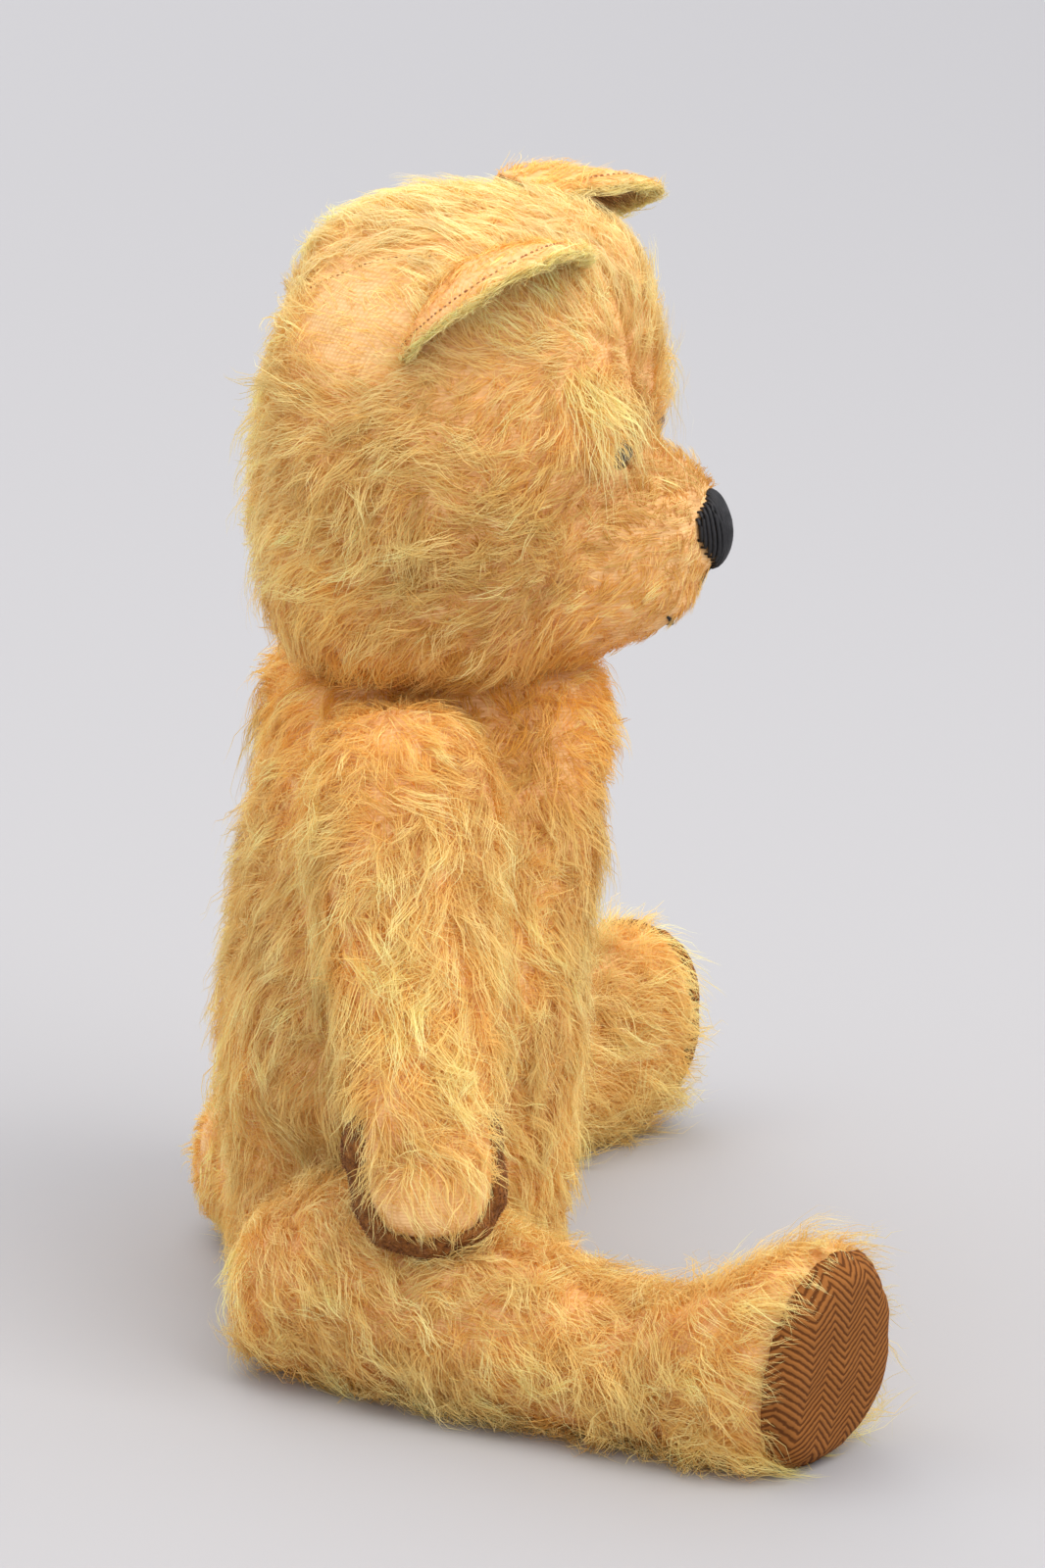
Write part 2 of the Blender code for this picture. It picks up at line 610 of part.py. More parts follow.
def build_leg(name, side):
    m = hip_frame(side)
    joint = side_vector(HIP, side)
    forms = []
    for d in (0.0, CLOTH, CLOTH + GAP):
        form = limb_form("leg", [(along, wide, thick, mid) for along, wide, thick, mid in LEG],
                         LEG_ENDS, LEG_POWER, m, d, 16)
        back = m.inverted()
        for v in form.data.vertices:
            v.co.z += rise((back @ v.co).y)
        press(form, Vector((0, 0, -1)), -d)
        for v in form.data.vertices:
            out, along, _ = back @ v.co
            t = min(1.0, max(0.0, (along - 0.100) / (SOLE - 0.100)))
            turn = FOOT_LEAN * (v.co.z - FOOT_MIDDLE[2]) - FOOT_OUT * (out - FOOT_MIDDLE[0])
            v.co += m.col[1].to_3d() * turn * t * t * (3 - 2 * t)
        forms.append(form)
    outer, inner, fill = forms
    middle = 24.5 * MM
    up = m.inverted().to_3x3() @ Vector((0, 0, 1))
    normal = (Vector((FOOT_OUT, 1, 0)) - FOOT_LEAN * up).normalized()
    centre = m @ Vector((FOOT_MIDDLE[0], FOOT_MIDDLE[1], 0))
    centre.z = FOOT_MIDDLE[2]
    foot = frame_at(centre, m.to_3x3() @ normal.cross(up), m.to_3x3() @ normal)
    for label, lo, hi in (("outer", middle + SEAM, 0.1), ("inner", -0.1, middle - SEAM)):
        piece = cut_half(outer, inner, label, (lo, -0.1, -0.1), (hi, 0.2, 0.1), m)
        combine(piece, solid_box("toe", (-0.1, -SEAM, -0.1), (0.1, 0.1, 0.1), foot), "DIFFERENCE")
        if label == "inner":
            drill(piece, m)
        finish(piece, "leg_%s_%s" % (label, name), "mohair", joint)
    pad = cut_half(outer, inner, "pad", (-0.1, SEAM, -0.1), (0.1, 0.1, 0.1), foot)
    finish(pad, "foot_pad_" + name, "felt", joint)
    pocket(fill, m, LEG_DISC_R, 1.0)
    finish(fill, "leg_stuffing_" + name, "stuffing", joint)
    remove(outer, inner)
    joint_hardware("hip_" + name, m, LEG_DISC_R, "leg", "torso", joint, Vector())


def rise(along):
    """How far a leg section is lifted or lowered so the whole underside lies on the seat."""
    stations = [row[0] * MM for row in LEG]
    heights = [(row[1] if k > 1 else LEG[2][1]) * MM for k, row in enumerate(LEG)]
    heights[-1] = LEG[-2][1] * MM
    return float(np.interp(along, stations, heights)) - LEG_FLAT - HIP.z


def main():
    for obj in list(bpy.data.objects):
        bpy.data.objects.remove(obj, do_unlink=True)
    build_torso()
    build_head()
    for name, side in SIDES:
        build_arm(name, side)
        build_leg(name, side)


main()
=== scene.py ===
"""Looks of the jointed mohair bear: inflated cloth skins, combed mohair pile, wool pads and stitching."""

import json
import math

import bmesh
import bpy
import numpy as np
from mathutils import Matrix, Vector
from mathutils.bvhtree import BVHTree
from mathutils.kdtree import KDTree


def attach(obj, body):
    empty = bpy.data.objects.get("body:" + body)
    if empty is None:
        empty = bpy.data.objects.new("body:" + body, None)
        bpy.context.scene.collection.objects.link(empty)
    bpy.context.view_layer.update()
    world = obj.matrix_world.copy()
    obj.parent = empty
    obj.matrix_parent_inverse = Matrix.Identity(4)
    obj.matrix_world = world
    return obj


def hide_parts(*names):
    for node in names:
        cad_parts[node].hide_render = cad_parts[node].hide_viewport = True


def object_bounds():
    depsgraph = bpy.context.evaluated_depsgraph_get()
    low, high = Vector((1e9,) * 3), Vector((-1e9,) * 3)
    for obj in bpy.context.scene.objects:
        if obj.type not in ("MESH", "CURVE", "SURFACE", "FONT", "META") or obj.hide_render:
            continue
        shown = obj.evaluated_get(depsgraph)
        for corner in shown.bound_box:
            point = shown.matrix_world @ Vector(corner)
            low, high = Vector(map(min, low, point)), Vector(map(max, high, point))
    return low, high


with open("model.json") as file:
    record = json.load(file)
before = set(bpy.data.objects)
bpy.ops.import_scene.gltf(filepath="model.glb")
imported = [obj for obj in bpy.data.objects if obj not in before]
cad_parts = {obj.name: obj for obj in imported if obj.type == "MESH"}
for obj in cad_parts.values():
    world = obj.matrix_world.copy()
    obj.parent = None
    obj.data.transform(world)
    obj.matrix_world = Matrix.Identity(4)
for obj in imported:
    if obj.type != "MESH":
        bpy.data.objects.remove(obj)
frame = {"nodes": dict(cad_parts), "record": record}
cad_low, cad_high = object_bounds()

NODES = frame["nodes"]
MM = 0.001
SIDES = (("left", 1.0), ("right", -1.0))

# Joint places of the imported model, in metres
NECK = np.array((0.0, 0.020, 0.1965))
SHOULDER = np.array((0.0352, 0.036, 0.1635))
HIP = np.array((0.0394, 0.046, 0.027))
ARM_LEAN = math.radians(22.8)
LEG_SPLAY = math.radians(38.0)
HEAD_TURN = math.radians(-22.5)
TORSO_MIDDLE = 0.032  # along y

# Measures in mm, in the head's own frame
NOSE_HEIGHT = 238  # the middle of the nose, over the ground
NOSE_HALF = 9.2  # half the nose's width
EAR_HIGH = 44  # an ear, from the middle of its outline's curve to its rim
EAR_SUNK = 8  # that middle, below the ear's root

FLOOR_CLEAR = 0.9 * MM  # no hair is rooted lower than this

# A place on each joint's face and the axis it turns about, by body
PLANES = {"head": [(NECK, np.array((0.0, 0.0, 1.0)))], "torso": [(NECK, np.array((0.0, 0.0, 1.0)))]}
for s, k in SIDES:
    arm = (SHOULDER * (k, 1, 1), np.array((k * math.cos(ARM_LEAN), 0, math.sin(ARM_LEAN))))
    leg = (HIP * (k, 1, 1), np.array((k * math.cos(LEG_SPLAY), math.sin(LEG_SPLAY), 0)))
    PLANES["arm_" + s], PLANES["leg_" + s] = [arm], [leg]
    PLANES["torso"] += [arm, leg]


def unit(v):
    """Vectors brought to length 1."""
    return v / np.maximum(np.linalg.norm(v, axis=-1, keepdims=True), 1e-12)


def noise(p, scale, seed, waves=7):
    """Smooth random field of the place p, about -1 to 1. scale is its wavelength in metres."""
    rng = np.random.default_rng(seed)
    out = np.zeros(len(p))
    for _ in range(waves):
        k = unit(rng.normal(size=3)) * 2 * math.pi / (scale * rng.uniform(0.7, 1.6))
        out += np.sin(p @ k + rng.uniform(0, 2 * math.pi))
    return out / math.sqrt(waves) * 1.1


def step(x, low, high):
    """0 below low, 1 above high, and a smooth rise between."""
    t = np.clip((x - low) / (high - low), 0, 1)
    return t * t * (3 - 2 * t)


def tangent(way, normal):
    """Directions laid flat on a surface."""
    return unit(way - normal * (way * normal).sum(1)[:, None])


def head_local(p):
    """World places turned back into the head's own straight frame, about the neck axis."""
    c, s = math.cos(-HEAD_TURN), math.sin(-HEAD_TURN)
    q = p - NECK * (1, 1, 0)
    return np.stack([c * q[:, 0] - s * q[:, 1], s * q[:, 0] + c * q[:, 1], q[:, 2]], 1)


def head_world(v):
    """A direction of the head's own frame, in world axes."""
    c, s = math.cos(HEAD_TURN), math.sin(HEAD_TURN)
    v = np.asarray(v, float)
    return np.stack([c * v[..., 0] - s * v[..., 1], s * v[..., 0] + c * v[..., 1], v[..., 2]], -1)


# ---------------------------------------------------------------- meshes

def coords(mesh):
    """The places of a mesh's vertices."""
    co = np.zeros(len(mesh.vertices) * 3)
    mesh.vertices.foreach_get("co", co)
    return co.reshape(-1, 3)


def put_coords(mesh, co):
    mesh.vertices.foreach_set("co", np.ascontiguousarray(co, np.float32).ravel())
    mesh.update()


def mesh_object(name, co, faces):
    mesh = bpy.data.meshes.new(name)
    mesh.from_pydata([tuple(c) for c in co], [], [tuple(f) for f in faces])
    obj = bpy.data.objects.new(name, mesh)
    bpy.context.collection.objects.link(obj)
    return obj


def pooled(meshes):
    """The vertices and faces of several meshes in one list each."""
    verts, faces = [], []
    for mesh in meshes:
        base = len(verts)
        verts += [tuple(v.co) for v in mesh.vertices]
        faces += [tuple(base + i for i in p.vertices) for p in mesh.polygons]
    return verts, faces


def bvh_of(names):
    """A search tree over some CAD nodes."""
    return BVHTree.FromPolygons(*pooled(NODES[n].data for n in names))


def tree_of(obj):
    """A search tree over an object's mesh."""
    return BVHTree.FromPolygons(*pooled([obj.data]))


def applied(obj):
    """The object, its modifiers made into plain mesh."""
    dg = bpy.context.evaluated_depsgraph_get()
    mesh = bpy.data.meshes.new_from_object(obj.evaluated_get(dg))
    obj.modifiers.clear()
    old = obj.data
    obj.data = mesh
    bpy.data.meshes.remove(old)
    return obj


def outer_only(obj):
    """Drops every closed part except the widest, which leaves the outer surface alone."""
    bm = bmesh.new()
    bm.from_mesh(obj.data)
    left = set(bm.verts)
    parts = []
    while left:
        seed = left.pop()
        part, stack = [seed], [seed]
        while stack:
            for e in stack.pop().link_edges:
                for v in e.verts:
                    if v in left:
                        left.discard(v)
                        part.append(v)
                        stack.append(v)
        parts.append(part)
    parts.sort(key=len)
    bmesh.ops.delete(bm, geom=[v for part in parts[:-1] for v in part], context="VERTS")
    bmesh.ops.recalc_face_normals(bm, faces=bm.faces[:])
    bm.to_mesh(obj.data)
    bm.free()
    return obj


def fused(name, nodes, voxel):
    """The outer surface of some CAD nodes melted into one mesh."""
    obj = mesh_object(name, *pooled(NODES[n].data for n in nodes))
    remesh = obj.modifiers.new("remesh", "REMESH")
    remesh.mode, remesh.voxel_size = "VOXEL", voxel
    return outer_only(applied(obj))


def relaxed(mesh, co, rounds, share):
    """Places averaged with their neighbours."""
    edges = np.zeros(len(mesh.edges) * 2, int)
    mesh.edges.foreach_get("vertices", edges)
    a, b = edges.reshape(-1, 2).T
    count = np.bincount(a, minlength=len(co)) + np.bincount(b, minlength=len(co))
    for _ in range(rounds):
        total = np.zeros_like(co)
        np.add.at(total, a, co[b])
        np.add.at(total, b, co[a])
        co = co + share[:, None] * (total / count[:, None] - co)
    return co


def vertex_normals(mesh):
    n = np.zeros(len(mesh.vertices) * 3)
    mesh.vertices.foreach_get("normal", n)
    return n.reshape(-1, 3)


def distances(tree, co, reach):
    """How far each place is from a surface, up to reach."""
    out = np.full(len(co), reach)
    for i, p in enumerate(co):
        d = tree.find_nearest(p, reach)[3]
        if d is not None:
            out[i] = d
    return out


CLOTH_FRAMES = 20


def blown_up(obj, held):
    """Places of the skin after its stuffing has pressed it out as cloth. held is 0 where it is free."""
    group = obj.vertex_groups.new(name="held")
    for i, w in enumerate(held):
        if w > 0.01:
            group.add([i], float(w), "REPLACE")
    cloth = obj.modifiers.new("cloth", "CLOTH")
    cloth.settings.vertex_group_mass = "held"
    cloth.settings.quality = 5
    cloth.settings.mass = 0.3
    cloth.settings.tension_stiffness = cloth.settings.compression_stiffness = 18
    cloth.settings.bending_stiffness = 2.0
    cloth.settings.use_pressure = True
    cloth.settings.uniform_pressure_force = 4.0
    cloth.settings.effector_weights.gravity = 0
    cloth.collision_settings.use_collision = False
    cloth.point_cache.frame_start, cloth.point_cache.frame_end = 1, CLOTH_FRAMES
    scene = bpy.context.scene
    for f in range(1, CLOTH_FRAMES + 1):
        scene.frame_set(f)
    dg = bpy.context.evaluated_depsgraph_get()
    co = coords(obj.evaluated_get(dg).to_mesh())
    obj.modifiers.clear()
    obj.vertex_groups.clear()
    scene.frame_set(1)
    return co


def stuffed_skin(name, body, panels, others, swell):
    """The sewn panels and their stuffing as one cloth skin, blown up a little by its stuffing.

    It stays put near the other bodies, near the ground and at the joints' faces. Gives the object, a
    search tree of its vertices before the blowing up, and how far each of them moved.
    """
    inner = [n for n in frame["record"]["behaviour"]["bodies"][body] if "stuffing" in n]
    obj = fused(name, panels + inner, 3.4 * MM)
    base = coords(obj.data)
    base = relaxed(obj.data, base, 2, np.full(len(base), 0.4))
    # How free each place is to move, 0 to 1: by other bodies, the ground and the joints' faces
    free = step(distances(bvh_of(others), base, 8 * MM), 1.2 * MM, 7 * MM)
    free *= step(base[:, 2], 1.0 * MM, 9 * MM)
    for place, axis in PLANES[body]:
        off = (base - place) @ axis
        away = np.linalg.norm(base - place - off[:, None] * axis, axis=1)
        free *= np.maximum(step(np.abs(off), 1 * MM, 9 * MM), step(away, 42 * MM, 62 * MM))
    put_coords(obj.data, base)
    normal = vertex_normals(obj.data)
    base = base - normal * 0.35 * MM
    # A seam runs wherever a second panel is as near as the first
    gaps = np.sort(np.stack([distances(bvh_of([p]), base, 6 * MM) for p in panels]), 0)
    seam = 1 - step(gaps[1], 0.6 * MM, 4.5 * MM)
    moved = base
    # The cloth starts smaller than the model, and only its bulges and wrinkles are kept
    put_coords(obj.data, base - normal * (0.6 * swell * free)[:, None])
    shift = blown_up(obj, np.maximum(1 - free, 0.55 * seam)) - base
    out = (shift * normal).sum(1)
    slide = shift - normal * out[:, None]
    slide *= np.minimum(1, 1.5 * MM / np.maximum(np.linalg.norm(slide, axis=1, keepdims=True), 1e-9))
    out = np.clip(out - np.median(out[free > 0.5]), -0.45 * swell, 0.6 * swell)
    moved = moved + (slide + normal * (0.8 * out)[:, None]) * free[:, None]
    # Rounder between its seams, pulled in along them, and lumpy with its filling
    lumps = noise(base, 32 * MM, 11) * 0.7 + noise(base, 15 * MM, 12) * 0.35
    out = (0.6 * swell * (1 - seam) + lumps * 0.9 * MM - seam * 0.9 * MM) * free
    moved = moved + normal * out[:, None]
    too_deep = -0.9 * MM - ((moved - base) * normal).sum(1)
    moved = moved + normal * np.maximum(too_deep, 0)[:, None]
    moved[:, 2] = np.maximum(moved[:, 2], 0.15 * MM)
    put_coords(obj.data, moved)
    kd = KDTree(len(base))
    for i, p in enumerate(base):
        kd.insert(p, i)
    kd.balance()
    subsurf = obj.modifiers.new("fine", "SUBSURF")
    subsurf.levels = 1
    applied(obj)
    obj.data.shade_smooth()
    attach(obj, body)
    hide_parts(*panels)
    return obj, kd, moved - base


def carried(co, kd, shift):
    """Places moved with the nearest part of a blown-up skin."""
    out = co.copy()
    for i, p in enumerate(co):
        found = kd.find_n(p, 5)
        w = np.array([1 / (d + 0.4 * MM) for _, _, d in found])
        out[i] += (shift[[k for _, k, _ in found]] * w[:, None]).sum(0) / w.sum()
    return out


# ---------------------------------------------------------------- materials

def principled(name, colour, rough, metallic=0.0, **more):
    """A material, its nodes, its links and its shader. more sets other inputs of the shader."""
    mat = bpy.data.materials.new(name)
    mat.use_nodes = True
    shader = mat.node_tree.nodes["Principled BSDF"]
    shader.inputs["Base Color"].default_value = (*colour, 1)
    shader.inputs["Roughness"].default_value = rough
    shader.inputs["Metallic"].default_value = metallic
    for key, value in more.items():
        shader.inputs[key.replace("_", " ")].default_value = value
    return mat, mat.node_tree.nodes, mat.node_tree.links, shader


def node(nodes, kind, **values):
    """A new node with its settings and plain inputs given by name."""
    n = nodes.new(kind)
    for key, value in values.items():
        if hasattr(n, key):
            setattr(n, key, value)
        else:
            n.inputs[key].default_value = value
    return n


def math_node(nodes, links, operation, *inputs):
    """The output of a maths node. Each input is a number or another node's output."""
    n = node(nodes, "ShaderNodeMath", operation=operation)
    for socket, value in zip(n.inputs, inputs):
        if isinstance(value, (int, float)):
            socket.default_value = value
        else:
            links.new(value, socket)
    return n.outputs[0]


def texture(nodes, links, kind, vector, **values):
    """The strength of a procedural texture laid by the given coordinates."""
    tex = node(nodes, kind, **values)
    links.new(vector, tex.inputs["Vector"])
    return tex.outputs["Fac"]


def bumped(nodes, links, shader, height, strength, distance):
    """Gives a shader a bump of the given height."""
    bump = node(nodes, "ShaderNodeBump", Strength=strength, Distance=distance)
    links.new(height, bump.inputs["Height"])
    links.new(bump.outputs["Normal"], shader.inputs["Normal"])


def ramp(nodes, links, factor, *stops):
    """The colour picked by a factor between (position, colour) stops."""
    r = nodes.new("ShaderNodeValToRGB")
    e = r.color_ramp.elements
    while len(e) < len(stops):
        e.new(0.5)
    for k, (at, colour) in enumerate(stops):
        e[k].position = at
        e[k].color = (*colour, 1)
    links.new(factor, r.inputs["Fac"])
    return r.outputs["Color"]


def pile_material():
    """Silky hair that lets some light through, coloured from root to tip by each hair's colour attribute: the
    hair's own orange and yellow, with painted shade at its roots and a painted highlight at its tips.
    """
    mat, nodes, links, shader = principled("mohair_pile", (0.8, 0.6, 0.3), 0.55, Sheen_Weight=0.12,
                                           Sheen_Roughness=0.4, Specular_IOR_Level=0.25)
    colour = node(nodes, "ShaderNodeAttribute", attribute_name="pile")
    links.new(colour.outputs["Color"], shader.inputs["Base Color"])
    through = nodes.new("ShaderNodeBsdfTranslucent")
    links.new(colour.outputs["Color"], through.inputs["Color"])
    mix = node(nodes, "ShaderNodeMixShader", Fac=0.35)
    links.new(shader.outputs[0], mix.inputs[1])
    links.new(through.outputs[0], mix.inputs[2])
    links.new(mix.outputs[0], nodes["Material Output"].inputs["Surface"])
    return mat


def weave_material(name, dark, light, pitch):
    """Plain woven cloth: two crossed sets of threads, with slubs."""
    mat, nodes, links, shader = principled(name, light, 0.9, Sheen_Weight=0.05, Specular_IOR_Level=0.2)
    place = nodes.new("ShaderNodeTexCoord").outputs["Object"]
    threads = [texture(nodes, links, "ShaderNodeTexWave", place, bands_direction=direction,
                       Scale=1 / pitch / 3.1, Distortion=1.2, Detail=1.0) for direction in ("X", "Z")]
    weave = math_node(nodes, links, "MULTIPLY", *threads)
    slub = texture(nodes, links, "ShaderNodeTexNoise", place, Scale=260.0, Detail=4.0)
    height = math_node(nodes, links, "ADD", weave, slub)
    links.new(ramp(nodes, links, height, (0.3, dark), (1.0, light)), shader.inputs["Base Color"])
    bumped(nodes, links, shader, height, 0.25, 0.3 * MM)
    return mat


COLUMN_WIDTH, RIB_PITCH = 6.5, 2.3  # of the herringbone, in mm


def herringbone_material():
    """Wool cloth with slanted ribs that turn back in even columns, laid by the pad's own layout."""
    mat, nodes, links, shader = principled("herringbone_wool", (0.3, 0.15, 0.06), 0.95,
                                           Specular_IOR_Level=0.15)
    lay = node(nodes, "ShaderNodeUVMap", uv_map="cloth").outputs["UV"]
    xyz = nodes.new("ShaderNodeSeparateXYZ")
    links.new(lay, xyz.inputs[0])
    fold = math_node(nodes, links, "PINGPONG", xyz.outputs["X"], COLUMN_WIDTH)
    slant = math_node(nodes, links, "ADD", fold, xyz.outputs["Y"])
    wobble = texture(nodes, links, "ShaderNodeTexNoise", lay, Scale=0.5, Detail=2.0)
    slant = math_node(nodes, links, "ADD", slant, wobble)
    turn = math_node(nodes, links, "MULTIPLY", slant, 2 * math.pi / RIB_PITCH)
    rib = math_node(nodes, links, "SINE", turn)
    fuzz = texture(nodes, links, "ShaderNodeTexNoise", lay, Scale=5.0, Detail=5.0, Roughness=0.7)
    height = math_node(nodes, links, "MULTIPLY_ADD", fuzz, 1.6, rib)
    links.new(ramp(nodes, links, height, (0.0, (0.13, 0.042, 0.010)), (0.55, (0.25, 0.085, 0.018)),
                   (1.0, (0.36, 0.135, 0.032))), shader.inputs["Base Color"])
    bumped(nodes, links, shader, height, 0.6, 0.5 * MM)
    return mat


def mottled(name, dark, light, scale, rough, metallic=0.0, bump=0.2, **more):
    """A material with a fine irregular grain between two colours."""
    mat, nodes, links, shader = principled(name, light, rough, metallic, **more)
    place = nodes.new("ShaderNodeTexCoord").outputs["Object"]
    grain = texture(nodes, links, "ShaderNodeTexNoise", place, Scale=scale, Detail=6.0, Roughness=0.65)
    links.new(ramp(nodes, links, grain, (0.3, dark), (0.7, light)), shader.inputs["Base Color"])
    bumped(nodes, links, shader, grain, bump, 0.3 * MM)
    return mat


PILE = pile_material()
EAR_BACKING = weave_material("worn_ear_backing", (0.78, 0.39, 0.13), (0.92, 0.54, 0.23), 1.1 * MM)
BACKING = weave_material("woven_backing", (0.76, 0.42, 0.16), (0.93, 0.59, 0.27), 1.1 * MM)
FELT = mottled("wool_felt", (0.085, 0.028, 0.007), (0.38, 0.150, 0.038), 430.0, 0.95, bump=1.0,
               Specular_IOR_Level=0.15)
HERRINGBONE = herringbone_material()
THREAD = mottled("black_thread", (0.006, 0.006, 0.007), (0.018, 0.017, 0.019), 900.0, 0.5, bump=0.3,
                 Specular_IOR_Level=0.35)
BROWN_THREAD = mottled("brown_thread", (0.30, 0.12, 0.04), (0.46, 0.21, 0.08), 700.0, 0.8, bump=0.2)
GLASS = principled("eye_glass", (0.035, 0.014, 0.006), 0.06, Coat_Weight=1.0)[0]
BOARD = mottled("pressed_board", (0.30, 0.22, 0.14), (0.48, 0.38, 0.26), 300.0, 0.85)
STEEL = mottled("zinc_steel", (0.42, 0.42, 0.43), (0.62, 0.62, 0.63), 500.0, 0.38, 1.0, bump=0.1)
WOOD_WOOL = mottled("wood_wool", (0.42, 0.33, 0.19), (0.76, 0.67, 0.46), 350.0, 0.9, bump=0.8)

CAD_LOOKS = (("disc", BOARD), ("washer", STEEL), ("pin", STEEL), ("stuffing", WOOD_WOOL), ("eye", GLASS),
             ("nose", THREAD), ("mouth", THREAD))
for name, obj in NODES.items():
    mat = next((look for word, look in CAD_LOOKS if word in name), None)
    if mat:
        obj.data.materials.clear()
        obj.data.materials.append(mat)


# ---------------------------------------------------------------- skins

ARMS = {s: ["arm_outer_" + s, "arm_inner_" + s, "paw_pad_" + s] for s, _ in SIDES}
LEGS = {s: ["leg_outer_" + s, "leg_inner_" + s, "foot_pad_" + s] for s, _ in SIDES}
TORSO = ["torso_left", "torso_right"]
HEAD = ["head_side_left", "head_side_right", "head_gusset"]

EVERY = TORSO + HEAD + sum(ARMS.values(), []) + sum(LEGS.values(), [])

SKINS = {}  # what pile can grow on, by its short name


def add_skin(body, panels, swell):
    """A body's sewn panels as a skin, kept clear of every other body's panels."""
    others = [n for n in EVERY if n not in panels]
    obj, kd, shift = stuffed_skin("skin_" + body, body, panels, others, swell)
    obj.data.materials.append(BACKING)
    SKINS[body] = dict(obj=obj, body=body, tree=tree_of(obj), kd=kd, shift=shift)


add_skin("torso", TORSO, 4 * MM)
add_skin("head", HEAD, 3.5 * MM)
for s, _ in SIDES:
    add_skin("arm_" + s, ARMS[s], 3 * MM)
    add_skin("leg_" + s, LEGS[s], 3.5 * MM)


def pad_piece(name, limb, cad, material, lift, axes):
    """A sewn pad, laid over the blown-up limb. axes are the across and up of its cloth's layout."""
    skin = SKINS[limb]
    obj = fused(name, [cad], 0.9 * MM)
    flat = relaxed(obj.data, coords(obj.data), 4, np.full(len(obj.data.vertices), 0.5))
    co = carried(flat, skin["kd"], skin["shift"])
    for i, p in enumerate(co):
        q, n, _, _ = skin["tree"].find_nearest(p)
        height = (Vector(p) - q).dot(n)
        co[i] = np.array(q + n * (height + lift))
    co[:, 2] = np.maximum(co[:, 2], 0.3 * MM)
    put_coords(obj.data, co)
    u, v = (unit(np.array(a, float)) for a in axes)
    lay = obj.data.uv_layers.new(name="cloth")
    loops = np.zeros(len(obj.data.loops), int)
    obj.data.loops.foreach_get("vertex_index", loops)
    uv = np.stack([flat @ u, flat @ v], 1)[loops] / MM
    lay.data.foreach_set("uv", uv.astype(np.float32).ravel())
    obj.data.shade_smooth()
    obj.data.materials.append(material)
    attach(obj, skin["body"])
    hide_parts(cad)


for s, k in SIDES:
    sole = (k * math.cos(LEG_SPLAY), math.sin(LEG_SPLAY), 0)
    pad_piece("sole_cloth_" + s, "leg_" + s, "foot_pad_" + s, HERRINGBONE, 1.4 * MM,
              (sole, (0, 0, 1)))
    pad_piece("paw_cloth_" + s, "arm_" + s, "paw_pad_" + s, FELT, 1.2 * MM,
              ((0, 1, 0), (0, 0, 1)))


# ---------------------------------------------------------------- threads

def tube_mesh(paths, radius, sides=7):
    """Places and faces of round threads along the given lines, pinched to a point at both ends."""
    co, faces = [], []
    for path in paths:
        path = np.array(path)
        along = unit(np.gradient(path, axis=0))
        ref = np.array((0.31, 0.17, 0.93)) if abs(along[0][2]) < 0.8 else np.array((0.95, 0.2, 0.1))
        a = unit(np.cross(along, ref))
        b = np.cross(along, a)
        base, rows = len(co), len(path)
        for r in range(rows):
            t = r / (rows - 1)
            thick = radius * min(1.0, 0.45 + 4 * min(t, 1 - t))
            for k in range(sides):
                w = 2 * math.pi * k / sides
                co.append(path[r] + thick * (a[r] * math.cos(w) + b[r] * math.sin(w)))
        for r in range(rows - 1):
            for k in range(sides):
                p, q = base + r * sides + k, base + r * sides + (k + 1) % sides
                faces.append((p, q, q + sides, p + sides))
        faces.append(tuple(range(base + sides - 1, base - 1, -1)))
        faces.append(tuple(range(base + (rows - 1) * sides, base + rows * sides)))
    return co, faces


def thread_object(name, paths, radius, material, *nodes):
    """Threads sewn on the head, and the CAD nodes that they stand for."""
    obj = mesh_object(name, *tube_mesh(paths, radius))
    obj.data.shade_smooth()
    obj.data.materials.append(material)
    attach(obj, "head")
    if nodes:
        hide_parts(*nodes)


def ear_frame(back, front, stand, lean):
    """An ear whose root runs from back to front, in mm, and which stands up some way.

    Gives the middle of the root, the ways across and up the ear, the way its hollow faces, half its
    width, and how far it leans to the front as it rises.
    """
    back, front, stand = np.array(back) * MM, np.array(front) * MM, np.array(stand)
    across = unit(front - back)
    up = unit(stand - across * (across @ stand))
    return (back + front) / 2, across, up, np.cross(across, up), np.linalg.norm(front - back) * 0.56, lean


# Both as if on the right side; the left ear has flopped forward
EARS = {1.0: ear_frame((-47, -14, 309), (-18, -34, 328), (-0.30, -0.95, 0.30), 0.1),
        -1.0: ear_frame((-51, -4, 294), (-30, -49, 319), (-0.88, -0.25, 0.42), 0.2)}


def mirrored(v, k):
    """A place or direction given for the right side, on side k."""
    return np.asarray(v) * (-k, 1, 1)


def in_ear(place, k):
    """Height up an ear and place across it in mm, and the part of the way from its middle to its rim."""
    middle, across, up, _, half, lean = EARS[k]
    q = head_local(place) * (-k, 1, 1) - middle
    height = q @ up
    reach = q @ across - lean * height
    return height / MM, reach / MM, np.hypot((height + EAR_SUNK * MM) / (EAR_HIGH * MM), reach / half)


def ear_skin(side):
    """Both layers of an ear as one cloth."""
    layers = ["ear_back_" + side, "ear_front_" + side]
    obj = fused("skin_ear_" + side, layers, 1.1 * MM)
    co = coords(obj.data)
    put_coords(obj.data, relaxed(obj.data, co, 6, np.full(len(co), 0.5)))
    obj.data.shade_smooth()
    obj.data.materials.append(EAR_BACKING)
    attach(obj, "head")
    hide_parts(*layers)
    SKINS["ear_" + side] = dict(obj=obj, body="head", tree=tree_of(obj))


for s, _ in SIDES:
    ear_skin(s)


def on_skin(tree, p, lift):
    """The place of a skin nearest to p, raised over it."""
    q, n, _, _ = tree.find_nearest(Vector(p))
    return np.array(q + n * lift)


def head_place(p):
    """A place given in the head's own straight frame, in world metres."""
    return head_world(np.asarray(p, float)) + NECK * (1, 1, 0)


